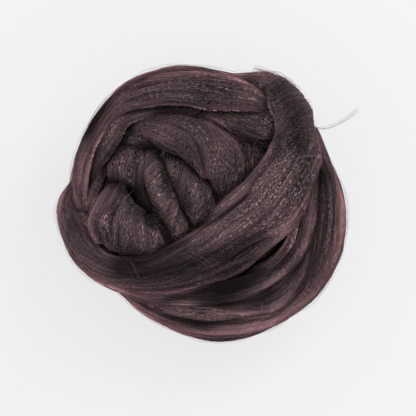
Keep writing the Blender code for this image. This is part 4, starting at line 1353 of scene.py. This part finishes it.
GLOSS = 0.05


def opaque(colour):
    return tuple(colour) + (1.0,)


def new_material(name):
    material = bpy.data.materials.new(name)
    material.use_nodes = True
    return material, material.node_tree.nodes["Principled BSDF"]


class Nodes:
    """Adds nodes to a tree and links them, from left to right."""

    def __init__(self, tree):
        self.tree = tree
        self.place = 0

    def add(self, kind, settings=None, **inputs):
        node = self.tree.nodes.new(kind)
        self.place -= 180
        node.location = (self.place, 0)
        for key, value in (settings or {}).items():
            setattr(node, key, value)
        for key, value in inputs.items():
            self.feed(node.inputs[key.replace("_", " ")], value)
        return node

    def feed(self, socket, value):
        if isinstance(value, bpy.types.NodeSocket):
            self.tree.links.new(value, socket)
        else:
            socket.default_value = value


def stretched_noise(nodes, where, spot, detail=1.0, roughness=0.5):
    """Noise whose spots are as wide and as long as spot says, in millimetres."""
    across, along = spot
    mapped = nodes.add("ShaderNodeMapping", Vector=where)
    mapped.inputs["Scale"].default_value = (1000 / along, 1000 / across, 1)
    noise = nodes.add(
        "ShaderNodeTexNoise", {"noise_dimensions": "2D"},
        Vector=mapped.outputs[0], Scale=1.0, Detail=detail, Roughness=roughness,
    )
    return noise.outputs[0]


def shifted(nodes, value, given, wanted=(0.0, 1.0)):
    """A value taken from the given range into the wanted range."""
    ranged = nodes.add("ShaderNodeMapRange")
    nodes.feed(ranged.inputs["Value"], value)
    for key, number in zip(("From Min", "From Max", "To Min", "To Max"), given + wanted):
        ranged.inputs[key].default_value = number
    return ranged.outputs[0]


def combined(nodes, kind, operation, first, second):
    node = nodes.add(kind, {"operation": operation})
    nodes.feed(node.inputs[0], first)
    nodes.feed(node.inputs[3 if operation == "SCALE" else 1], second)
    return node.outputs[0]


def times(nodes, first, second):
    return combined(nodes, "ShaderNodeMath", "MULTIPLY", first, second)


def plus(nodes, first, second):
    return combined(nodes, "ShaderNodeMath", "ADD", first, second)


def scaled(nodes, colour, share):
    return combined(nodes, "ShaderNodeVectorMath", "SCALE", colour, share)


def attribute(nodes, name):
    return nodes.add("ShaderNodeAttribute", {"attribute_name": name}).outputs["Fac"]


def mixed_colour(nodes, share, first, second):
    node = nodes.add("ShaderNodeMix", {"data_type": "RGBA"})
    nodes.feed(node.inputs[0], share)
    nodes.feed(node.inputs[6], first)
    nodes.feed(node.inputs[7], second)
    return node.outputs[2]


def soften(shader, settings, roughness):
    """The finish that all the wool shares."""
    shader.inputs["Roughness"].default_value = roughness
    shader.inputs["Specular IOR Level"].default_value = GLOSS
    shader.inputs["Sheen Weight"].default_value = settings.sheen
    shader.inputs["Sheen Roughness"].default_value = SHEEN_ROUGHNESS
    shader.inputs["Sheen Tint"].default_value = opaque(settings.sheen_colour)


def combed_wool(settings):
    """Combed wool: locks, strands and single fibres run along the band, with painted edge light and
    shade.
    """
    material, shader = new_material("combed_wool")
    nodes = Nodes(material.node_tree)
    where = nodes.add("ShaderNodeUVMap", {"uv_map": "strand"}).outputs[0]
    pink, tone, light = (attribute(nodes, name) for name in ("pink", "tone", "open"))
    place = nodes.add("ShaderNodeTexCoord").outputs["Object"]
    height = nodes.add("ShaderNodeSeparateXYZ", Vector=place).outputs[2]
    crisp = shifted(nodes, height, CRISP_HEIGHTS, CRISPNESS)

    crimp = plus(nodes, stretched_noise(nodes, where, CRIMP_SPOT), -NOISE_MIDDLE)
    sway = nodes.add("ShaderNodeCombineXYZ", Y=times(nodes, crimp, CRIMP_SWAY)).outputs[0]
    bent = combined(nodes, "ShaderNodeVectorMath", "ADD", where, sway)
    lock = stretched_noise(nodes, bent, LOCK_SPOT)
    strand = stretched_noise(nodes, bent, STRAND_SPOT, 2.0)
    fibre = stretched_noise(nodes, bent, FIBRE_SPOT, 1.0, FIBRE_BREAKUP)

    grain = times(nodes, shifted(nodes, fibre, GRAIN_FROM, GRAIN_TO), crisp)
    locks_light = times(nodes, plus(nodes, lock, -NOISE_MIDDLE), LOCK_STRENGTH)
    strands_light = times(nodes, plus(nodes, strand, -NOISE_MIDDLE), STRAND_STRENGTH)
    band_light = times(nodes, plus(nodes, tone, -NOISE_MIDDLE), TONE_STRENGTH)
    doublings = plus(nodes, plus(nodes, strands_light, grain), plus(nodes, locks_light, band_light))
    # Painted shade and light: the open attribute scales the colour, which turns to the shade colour where
    # it's low.
    shade = times(nodes, combined(nodes, "ShaderNodeMath", "POWER", 2.0, doublings), light)

    wool = mixed_colour(nodes, pink, opaque(settings.wool_colour), opaque(settings.edge_colour))
    lit, dull = scaled(nodes, wool, shade), scaled(nodes, SHADE_COLOUR, shade)
    colour = mixed_colour(nodes, shifted(nodes, light, DULL_LIGHT), dull, lit)
    nodes.feed(shader.inputs["Base Color"], colour)
    relief = plus(nodes, times(nodes, strand, STRAND_RELIEF), times(nodes, fibre, FIBRE_RELIEF))
    bump = nodes.add("ShaderNodeBump", Height=relief, Strength=1.0, Distance=RELIEF_DEPTH)
    nodes.feed(shader.inputs["Normal"], bump.outputs[0])
    soften(shader, settings, BAND_ROUGHNESS)
    return material


def single_fibres(settings):
    """Single fibres and thin tufts, each of its own tone, which for strands carries painted shade, and
    paler with painted edge light.
    """
    material, shader = new_material("single_fibres")
    nodes = Nodes(material.node_tree)
    pink, tone = attribute(nodes, "pink"), attribute(nodes, "tone")
    wool = mixed_colour(nodes, pink, opaque(settings.wool_colour), opaque(settings.edge_colour))
    nodes.feed(shader.inputs["Base Color"], scaled(nodes, wool, tone))
    soften(shader, settings, FIBRE_ROUGHNESS)
    return material


def wool_materials(settings):
    if not bpy.data.materials.get("combed_wool"):
        combed_wool(settings)
        single_fibres(settings)
    return bpy.data.materials["combed_wool"], bpy.data.materials["single_fibres"]


# Strands, hairs, and the node tree that makes them

# How strands and stray hairs wander off their lines, how thick a stray hair is, and their seeds.
# The lengths are in metres, and the spots of noise that move them are so many to a metre.
WANDER_SPOTS = 160.0
STRAND_WANDER, STRAND_WANDER_SEED = 0.0003, 5
STRAY_WANDER, STRAY_WANDER_SEED = 0.0008, 9
STRAY_RADIUS = 0.0001


def fibre_tree(name):
    """A node tree that turns each line of points into a thin closed fibre."""
    tree = bpy.data.node_groups.new(name, "GeometryNodeTree")
    face = tree.interface
    face.new_socket("Lines", in_out="INPUT", socket_type="NodeSocketGeometry")
    radius = face.new_socket("Radius", in_out="INPUT", socket_type="NodeSocketFloat")
    radius.subtype = "DISTANCE"
    sides = face.new_socket("Sides", in_out="INPUT", socket_type="NodeSocketInt")
    wander = face.new_socket("Wander", in_out="INPUT", socket_type="NodeSocketFloat")
    wander.subtype = "DISTANCE"
    seed = face.new_socket("Seed", in_out="INPUT", socket_type="NodeSocketInt")
    material = face.new_socket("Material", in_out="INPUT", socket_type="NodeSocketMaterial")
    face.new_socket("Fibres", in_out="OUTPUT", socket_type="NodeSocketGeometry")
    nodes = Nodes(tree)
    given = nodes.add("NodeGroupInput").outputs
    places = nodes.add("GeometryNodeInputPosition").outputs[0]
    noise = nodes.add("ShaderNodeTexNoise", {"noise_dimensions": "4D"}, Vector=places, Scale=WANDER_SPOTS)
    nodes.feed(noise.inputs["W"], given["Seed"])
    centred = nodes.add("ShaderNodeVectorMath", {"operation": "SUBTRACT"})
    nodes.feed(centred.inputs[0], noise.outputs["Color"])
    centred.inputs[1].default_value = (NOISE_MIDDLE,) * 3
    offset = nodes.add("ShaderNodeVectorMath", {"operation": "SCALE"})
    nodes.feed(offset.inputs[0], centred.outputs[0])
    nodes.feed(offset.inputs[3], given["Wander"])
    moved = nodes.add("GeometryNodeSetPosition", Geometry=given["Lines"], Offset=offset.outputs[0])
    curves = nodes.add("GeometryNodeMeshToCurve", Mesh=moved.outputs[0])
    width = nodes.add("GeometryNodeInputNamedAttribute", {"data_type": "FLOAT"}, Name="width")
    ring = nodes.add(
        "GeometryNodeCurvePrimitiveCircle", Resolution=given["Sides"], Radius=given["Radius"]
    )
    swept = nodes.add(
        "GeometryNodeCurveToMesh", Curve=curves.outputs[0], Profile_Curve=ring.outputs[0],
        Scale=width.outputs[0], Fill_Caps=True,
    )
    real = nodes.add("GeometryNodeRealizeInstances", Geometry=swept.outputs[0])
    dyed = nodes.add("GeometryNodeSetMaterial", Geometry=real.outputs[0], Material=given["Material"])
    nodes.add("NodeGroupOutput", Fibres=dyed.outputs[0])
    sockets = {"Radius": radius, "Sides": sides, "Wander": wander, "Seed": seed, "Material": material}
    return tree, {label: socket.identifier for label, socket in sockets.items()}


def fibre_mesh(name, lines, widths, pinks, tones, **inputs):
    """The mesh that the fibre tree makes of lines, an array of fibres by points."""
    count, length = lines.shape[:2]
    start = np.arange(count * length).reshape(count, length)[:, :-1].reshape(-1)
    edges = np.column_stack([start, start + 1]).tolist()
    guide = bpy.data.meshes.new(name + "_lines")
    guide.from_pydata((lines.reshape(-1, 3) * MM).tolist(), edges, [])
    for label, values in (("width", widths), ("pink", pinks), ("tone", tones)):
        values = values if values.ndim == 2 else values[:, None]
        set_values(guide, label, np.broadcast_to(values, (count, length)))
    holder = bpy.data.objects.new(name + "_lines", guide)
    bpy.context.scene.collection.objects.link(holder)
    tree, keys = fibre_tree(name)
    maker = holder.modifiers.new("fibres", "NODES")
    maker.node_group = tree
    for label, value in inputs.items():
        maker[keys[label]] = value
    bpy.context.view_layer.update()
    graph = bpy.context.evaluated_depsgraph_get()
    mesh = bpy.data.meshes.new_from_object(holder.evaluated_get(graph), depsgraph=graph)
    mesh.name = name
    bpy.data.objects.remove(holder, do_unlink=True)
    bpy.data.meshes.remove(guide)
    return mesh


# Where strands start and how long they are, as shares; how they sink in at their ends and arch
# between them, how thick and how bright they are, and how thin hairs stand off.
COVER_START, COVER_REACH = 0.8, 9.0
STRAND_STARTS = (0.0, 0.95)
STRAND_REACHES = (0.5, 1.3)
STRAND_CROSSES = 0.7
STRAND_LANES = (0.02, 0.98)
STRAND_DEPTH, STRAND_ARCH = 0.12, 0.14
STRAND_WIDTHS, STRAND_TIP = (0.7, 1.4), 0.35
STRAND_TONE, TONE_SPREAD, TONE_POWER = 0.6, 1.3, 1.6
STRAND_SEED = 11
LOOSE_LIFTS = (-0.02, 1.0)
HAIR_LIFTS = (0.6, 2.4)
HAIR_WIDTH = 0.3
FIBRE_SIDES = 3
LEAST_LEAN = 0.01
FLOOR_GAP = 0.15


def picked(grid, rows, columns):
    """Values of a band's grid at places between its rows and columns."""
    r = np.clip(np.floor(rows).astype(int), 0, grid.shape[0] - 2)
    c = np.clip(np.floor(columns).astype(int), 0, grid.shape[1] - 2)
    u, v = np.clip(rows - r, 0, 1), np.clip(columns - c, 0, 1)
    if grid.ndim == 3:
        u, v = u[..., None], v[..., None]
    near = grid[r, c] * (1 - v) + grid[r, c + 1] * v
    far = grid[r + 1, c] * (1 - v) + grid[r + 1, c + 1] * v
    return near * (1 - u) + far * u


def laid_on(tree, path):
    """The seen path laid on the wool from above, and level with the nearest wool past its edge."""
    eye = np.array(CAMERA_PLACE)
    ways = np.column_stack([path, np.full(len(path), SEEN_HEIGHT)]) - eye
    hits = [tree.ray_cast(Vector(eye), Vector(way))[0] for way in ways]
    known = [index for index, hit in enumerate(hits) if hit is not None]
    found = [hits[index].z for index in known]
    heights = np.full(len(path), STRAY_HEIGHT)
    if known:
        heights = np.interp(np.arange(len(path)), known, found) + STRAY_LIFT
    return eye + ways * ((heights - eye[2]) / ways[:, 2])[:, None]


def covered(tree, places, normals):
    """Whether wool lies over each place, within a few millimetres."""
    hidden = [
        tree.ray_cast(Vector(place + normal * COVER_START), Vector(normal), COVER_REACH)[0] is not None
        for place, normal in zip(places, normals)
    ]
    return np.array(hidden)


def strands_on(band, tree, look, rng):
    """Lines, widths, pinks and tones of the strands that lie in a band's surface where it shows."""
    length, width = band.size
    share = UNDER_SHARE if band.name.startswith("under") else 1
    count = int(length * width * look.per_area * share)
    rows, columns = band.points.shape[:2]
    every = np.arange(rows)
    start = rng.uniform(*STRAND_STARTS, count) * (rows - 1)
    slip = np.interp(start + 1, every, band.slip) - np.interp(start, every, band.slip)
    lean = np.arctan(slip * width / columns * rows / length)
    reach = rng.uniform(*STRAND_REACHES, count) * look.length
    longest = STRAND_CROSSES * width / np.maximum(np.abs(np.sin(lean)), LEAST_LEAN)
    reach = np.minimum(reach, longest) * np.cos(lean)
    reach = np.minimum(reach * rows / length, rows - 1 - start)
    t = np.linspace(0, 1, look.points)
    r = start[:, None] + reach[:, None] * t
    lane = rng.uniform(*STRAND_LANES, count) * (columns - 1)
    swing = rng.normal(0, look.drift, count) * (columns - 1) / width
    over = np.interp(r, every, band.slip)
    over = over - over.mean(axis=1, keepdims=True)
    c = lane[:, None] + swing[:, None] * (t - 0.5) * 2 + over
    c = c - np.maximum(c.max(axis=1, keepdims=True) - (columns - 1), 0)
    c = np.clip(c - np.minimum(c.min(axis=1, keepdims=True), 0), 0, columns - 1)
    place, normal = picked(band.points, r, c), unit(picked(band.normals, r, c))
    middle = look.points // 2
    shown = ~covered(tree, place[:, middle], normal[:, middle])
    place, normal, r, c = place[shown], normal[shown], r[shown], c[shown]
    count = len(place)
    arch = np.sin(math.pi * t)
    lift = rng.uniform(*LOOSE_LIFTS, count) ** 2 * look.lift
    flies = rng.uniform(0, 1, count) < look.flyaways
    lift[flies] = rng.uniform(*HAIR_LIFTS, flies.sum())
    lines = place + normal * ((lift[:, None] + STRAND_ARCH) * arch - STRAND_DEPTH)[..., None]
    lines[..., 2] = np.maximum(lines[..., 2], FLOOR_GAP)
    widths = rng.uniform(*STRAND_WIDTHS, count) * np.where(flies, HAIR_WIDTH, 1)
    widths = widths[:, None] * (STRAND_TIP + (1 - STRAND_TIP) * arch)
    tones = STRAND_TONE + TONE_SPREAD * rng.uniform(0, 1, count) ** TONE_POWER
    # The tones carry the painted shade and light of the band under each strand, and the pinks its painted
    # edge light.
    return lines, widths, picked(band.pink, r, c), tones[:, None] * picked(band.open, r, c)


# What a user can change, and the parts of the stage that stay as they are

FLOOR_HALF = 3.0
FLOOR_SQUARES = 8
FLOOR_ROUGHNESS = 0.9
FLOOR_GLOSS = 0.1
FLOOR_LIGHT = (1.0, 1.0, 1.01)
WINDOW_PLACE = (0.55, 0.55, 0.8)
WINDOW_SIZE = 0.6
WINDOW_AIM = (0.0, 0.0, 0.04)
LENS, SENSOR = 200.0, 36.0
SIGHT = 20.0


class WoolLook(bpy.types.PropertyGroup):
    """Sizes and colours of the combed wool."""

    wool_colour: bpy.props.FloatVectorProperty(
        name="Wool colour", description="Colour of the dyed wool", default=(0.112, 0.073, 0.077),
        subtype="COLOR", min=0.0, max=1.0,
    )
    edge_colour: bpy.props.FloatVectorProperty(
        name="Edge colour", description="Paler colour where light passes the band edges",
        default=(0.28, 0.155, 0.17), subtype="COLOR", min=0.0, max=1.0,
    )
    sheen_colour: bpy.props.FloatVectorProperty(
        name="Sheen colour", description="Colour of the light that the fibres scatter at grazing angles",
        default=(0.85, 0.6, 0.64), subtype="COLOR", min=0.0, max=1.0,
    )
    sheen: bpy.props.FloatProperty(
        name="Sheen", description="Strength of that scattered light", default=0.02, min=0.0, max=1.0,
        subtype="FACTOR",
    )
    lock_width: bpy.props.FloatProperty(
        name="Lock width", description="Width of a lock, in millimetres", default=4.5, min=1.0,
    )
    lock_depth: bpy.props.FloatProperty(
        name="Lock depth", description="Depth of the valleys between locks, in millimetres",
        default=0.9, min=0.0,
    )
    strand_width: bpy.props.FloatProperty(
        name="Strand width", description="Width of a strand, in millimetres", default=1.5, min=0.3,
    )
    strand_depth: bpy.props.FloatProperty(
        name="Strand depth", description="Depth of the valleys between strands, in millimetres",
        default=0.32, min=0.0,
    )
    # Painted light that passes the thin band edges, at every band edge.
    edge_pink: bpy.props.FloatProperty(
        name="Edge share", description="How much of the edge colour every band edge shows",
        default=0.3, min=0.0, max=1.0, subtype="FACTOR",
    )


class FibreLook(bpy.types.PropertyGroup):
    """Sizes of the strands that lie in the surface of the bands."""

    radius: bpy.props.FloatProperty(
        name="Radius", description="Radius of a strand", default=0.00016, min=0.00001,
        unit="LENGTH", precision=5,
    )
    length: bpy.props.FloatProperty(
        name="Length", description="Usual length of a strand, in millimetres", default=38.0, min=5.0,
    )
    lift: bpy.props.FloatProperty(
        name="Lift", description="How far the loosest strands stand off the band, in millimetres",
        default=0.45, min=0.0,
    )
    drift: bpy.props.FloatProperty(
        name="Drift", description="How far a strand drifts across its band, in millimetres",
        default=0.8, min=0.0,
    )
    per_area: bpy.props.FloatProperty(
        name="Amount", description="Strands for each square millimetre of band", default=0.22, min=0.0,
    )
    points: bpy.props.IntProperty(
        name="Points", description="Points along one strand", default=8, min=4, max=16,
    )
    flyaways: bpy.props.FloatProperty(
        name="Flyaways", description="Share of the strands that are thin hairs standing off the band",
        default=0.12, min=0.0, max=1.0, subtype="FACTOR",
    )


class StageLook(bpy.types.PropertyGroup):
    """The floor and the light."""

    floor_colour: bpy.props.FloatVectorProperty(
        name="Floor colour", description="Colour of the floor", default=(0.25, 0.25, 0.255),
        subtype="COLOR", min=0.0, max=1.0,
    )
    glow: bpy.props.FloatProperty(
        name="Floor glow", description="Light that the lit card under the ball gives off itself",
        default=0.66, min=0.0,
    )
    sky: bpy.props.FloatProperty(
        name="Room light", description="Strength of the light from all round", default=0.82, min=0.0,
    )
    window: bpy.props.FloatProperty(
        name="Window light", description="Power of the soft light from the upper right",
        default=3.0, min=0.0, unit="POWER",
    )


# Operators


def settings_of(context):
    return context.scene.roving_wool, context.scene.roving_fibres, context.scene.roving_stage


class BuildBands:
    """Lays one group of bands and shows it as one piece."""

    group = ""

    def execute(self, context):
        look = settings_of(context)[0]
        bands = whole_ball(look)[0][self.group]
        show_piece(self.group, piece_mesh(self.group, bands), wool_materials(look)[0])
        return {"FINISHED"}


class ROVING_OT_rim_windings(BuildBands, bpy.types.Operator):
    """Lays the bands that arch over the far side, round the open nest"""

    bl_idname = "roving.rim_windings"
    bl_label = "Rim windings"
    group = "rim_windings"


class ROVING_OT_nest_folds(BuildBands, bpy.types.Operator):
    """Lays the short plump folds that fill the nest"""

    bl_idname = "roving.nest_folds"
    bl_label = "Nest folds"
    group = "nest_folds"


class ROVING_OT_crossing_bands(BuildBands, bpy.types.Operator):
    """Lays the wide band that crosses the top, with its lip, skirt and hem"""

    bl_idname = "roving.crossing_bands"
    bl_label = "Crossing bands"
    group = "crossing_bands"


class ROVING_OT_outer_windings(BuildBands, bpy.types.Operator):
    """Lays the bands that run round the near and right side"""

    bl_idname = "roving.outer_windings"
    bl_label = "Outer windings"
    group = "outer_windings"


def heart_mesh(name):
    """The core, its girth and the bed of the nest, as rounded bodies that only show between bands."""
    mesh = bmesh.new()
    bodies = ((CORE_MIDDLE, CORE_HALF), (GIRTH_MIDDLE, GIRTH_HALF), (BED_MIDDLE, BED_HALF))
    for middle, half in bodies:
        ball = bmesh.ops.create_icosphere(mesh, subdivisions=HEART_DETAIL, radius=1.0)
        for vert in ball["verts"]:
            place = np.array(vert.co) * half + middle
            place[2] = max(place[2], HEART_FOOT)
            vert.co = Vector(place * MM)
    data = bpy.data.meshes.new(name)
    mesh.to_mesh(data)
    mesh.free()
    data.polygons.foreach_set("use_smooth", [True] * len(data.polygons))
    # Painted light: the heart's colour is lifted, as in the deepest crevices, where it shows between
    # bands.
    set_values(data, "open", [HEART_LIGHT] * len(data.vertices))
    strand = data.uv_layers.new(name="strand")
    for loop, spot in zip(data.loops, strand.data):
        x, y, z = data.vertices[loop.vertex_index].co
        spot.uv = (HEART_RADIUS * math.atan2(y, x), z - math.hypot(x, y))
    return data


class ROVING_OT_under_windings(bpy.types.Operator):
    """Lays the turns that pass under the ball, pressed flat where it rests, and its heart"""

    bl_idname = "roving.under_windings"
    bl_label = "Under windings"

    def execute(self, context):
        look = settings_of(context)[0]
        wool = wool_materials(look)[0]
        bands = whole_ball(look)[0]["under_windings"]
        show_piece("under_windings", piece_mesh("under_windings", bands), wool)
        show_piece("heart", heart_mesh("heart"), wool)
        return {"FINISHED"}


class ROVING_OT_stray_hairs(bpy.types.Operator):
    """Lays the few stray hairs that stand out, on the ball and off its edge"""

    bl_idname = "roving.stray_hairs"
    bl_label = "Stray hairs"

    def execute(self, context):
        wool = settings_of(context)[0]
        material = wool_materials(wool)[1]
        tree = whole_ball(wool)[1]
        rng = np.random.default_rng(STRAY_SEED)
        share = np.linspace(0, 1, STRAY_POINTS)[:, None]
        lines, widths, tones = [], [], []
        for count, spread, thin, tone, path in STRAY_HAIRS:
            steps = smooth_rows([point + (0,) for point in path], STRAY_STEP)[:, :2]
            steps = steps[np.linspace(0, len(steps) - 1, STRAY_POINTS).astype(int)]
            for _ in range(count):
                beside = rng.normal(0, spread, 2)
                lines.append(laid_on(tree, steps + beside + share * rng.normal(0, spread, 2)))
                widths.append(rng.uniform(*STRAY_WIDTHS) * thin)
                tones.append(tone)
        pinks = np.full(len(lines), STRAY_PINK)
        mesh = fibre_mesh(
            "stray_hairs", np.array(lines), np.array(widths), pinks, np.array(tones),
            Radius=STRAY_RADIUS, Sides=FIBRE_SIDES, Wander=STRAY_WANDER, Seed=STRAY_WANDER_SEED,
            Material=material,
        )
        show_piece("stray_hairs", mesh, material)
        return {"FINISHED"}


class ROVING_OT_strands(bpy.types.Operator):
    """Lays thin strands in the surface of every band, where it shows"""

    bl_idname = "roving.strands"
    bl_label = "Strands"

    def execute(self, context):
        wool, look, _ = settings_of(context)
        material = wool_materials(wool)[1]
        groups, tree = whole_ball(wool)
        rng = np.random.default_rng(STRAND_SEED)
        for group, bands in groups.items():
            made = [strands_on(band, tree, look, rng) for band in bands]
            lines, widths, pinks, tones = (np.concatenate(part) for part in zip(*made))
            name = group.split("_")[0] + "_strands"
            mesh = fibre_mesh(
                name, lines, widths, pinks, tones,
                Radius=look.radius, Sides=FIBRE_SIDES, Wander=STRAND_WANDER, Seed=STRAND_WANDER_SEED,
                Material=material,
            )
            show_piece(name, mesh, material)
        return {"FINISHED"}


class ROVING_OT_stage(bpy.types.Operator):
    """Sets the floor, the light and the camera, which looks straight down"""

    bl_idname = "roving.stage"
    bl_label = "Studio stage"

    def execute(self, context):
        look = settings_of(context)[2]
        mesh = bmesh.new()
        bmesh.ops.create_grid(
            mesh, x_segments=FLOOR_SQUARES, y_segments=FLOOR_SQUARES, size=FLOOR_HALF
        )
        data = bpy.data.meshes.new("floor")
        mesh.to_mesh(data)
        mesh.free()
        floor = bpy.data.objects.new("floor", data)
        context.scene.collection.objects.link(floor)
        material, shader = new_material("floor_card")
        shader.inputs["Base Color"].default_value = opaque(look.floor_colour)
        shader.inputs["Roughness"].default_value = FLOOR_ROUGHNESS
        shader.inputs["Specular IOR Level"].default_value = FLOOR_GLOSS
        shader.inputs["Emission Color"].default_value = opaque(FLOOR_LIGHT)
        shader.inputs["Emission Strength"].default_value = look.glow
        data.materials.append(material)

        world = bpy.data.worlds.new("room")
        world.use_nodes = True
        sky = world.node_tree.nodes["Background"]
        sky.inputs["Color"].default_value = (1.0, 1.0, 1.0, 1.0)
        sky.inputs["Strength"].default_value = look.sky
        context.scene.world = world

        light = bpy.data.lights.new("window", "AREA")
        light.shape = "DISK"
        light.size = WINDOW_SIZE
        light.energy = look.window
        lamp = bpy.data.objects.new("window", light)
        lamp.location = WINDOW_PLACE
        aim = Vector(WINDOW_AIM) - lamp.location
        lamp.rotation_euler = aim.to_track_quat("-Z", "Y").to_euler()
        context.scene.collection.objects.link(lamp)

        lens = bpy.data.cameras.new("camera")
        lens.lens = LENS
        lens.sensor_width = SENSOR
        lens.clip_end = SIGHT
        camera = bpy.data.objects.new("camera", lens)
        camera.location = Vector(CAMERA_PLACE) * MM
        context.scene.collection.objects.link(camera)
        context.scene.camera = camera
        context.scene.view_settings.view_transform = "Standard"
        return {"FINISHED"}


class ROVING_PT_panel(bpy.types.Panel):
    """Lists the steps that build the ball."""

    bl_label = "Wool roving ball"
    bl_idname = "ROVING_PT_panel"
    bl_space_type = "VIEW_3D"
    bl_region_type = "UI"
    bl_category = "Roving"

    def draw(self, context):
        layout = self.layout
        for title, settings in (
            ("Wool", context.scene.roving_wool),
            ("Strands", context.scene.roving_fibres),
            ("Stage", context.scene.roving_stage),
        ):
            box = layout.box()
            box.label(text=title)
            for name in settings.__annotations__:
                box.prop(settings, name)
        for operator in OPERATORS:
            layout.operator(operator.bl_idname)


OPERATORS = (
    ROVING_OT_stage,
    ROVING_OT_under_windings,
    ROVING_OT_rim_windings,
    ROVING_OT_nest_folds,
    ROVING_OT_crossing_bands,
    ROVING_OT_outer_windings,
    ROVING_OT_strands,
    ROVING_OT_stray_hairs,
)
CLASSES = (WoolLook, FibreLook, StageLook) + OPERATORS + (ROVING_PT_panel,)


def register():
    for cls in CLASSES:
        bpy.utils.register_class(cls)
    bpy.types.Scene.roving_wool = bpy.props.PointerProperty(type=WoolLook)
    bpy.types.Scene.roving_fibres = bpy.props.PointerProperty(type=FibreLook)
    bpy.types.Scene.roving_stage = bpy.props.PointerProperty(type=StageLook)


def unregister():
    del bpy.types.Scene.roving_wool, bpy.types.Scene.roving_fibres, bpy.types.Scene.roving_stage
    for cls in reversed(CLASSES):
        bpy.utils.unregister_class(cls)


def main():
    register()
    for operator in OPERATORS:
        family, name = operator.bl_idname.split(".")
        getattr(getattr(bpy.ops, family), name)()
    bpy.context.view_layer.update()


if __name__ == "__main__":
    main()
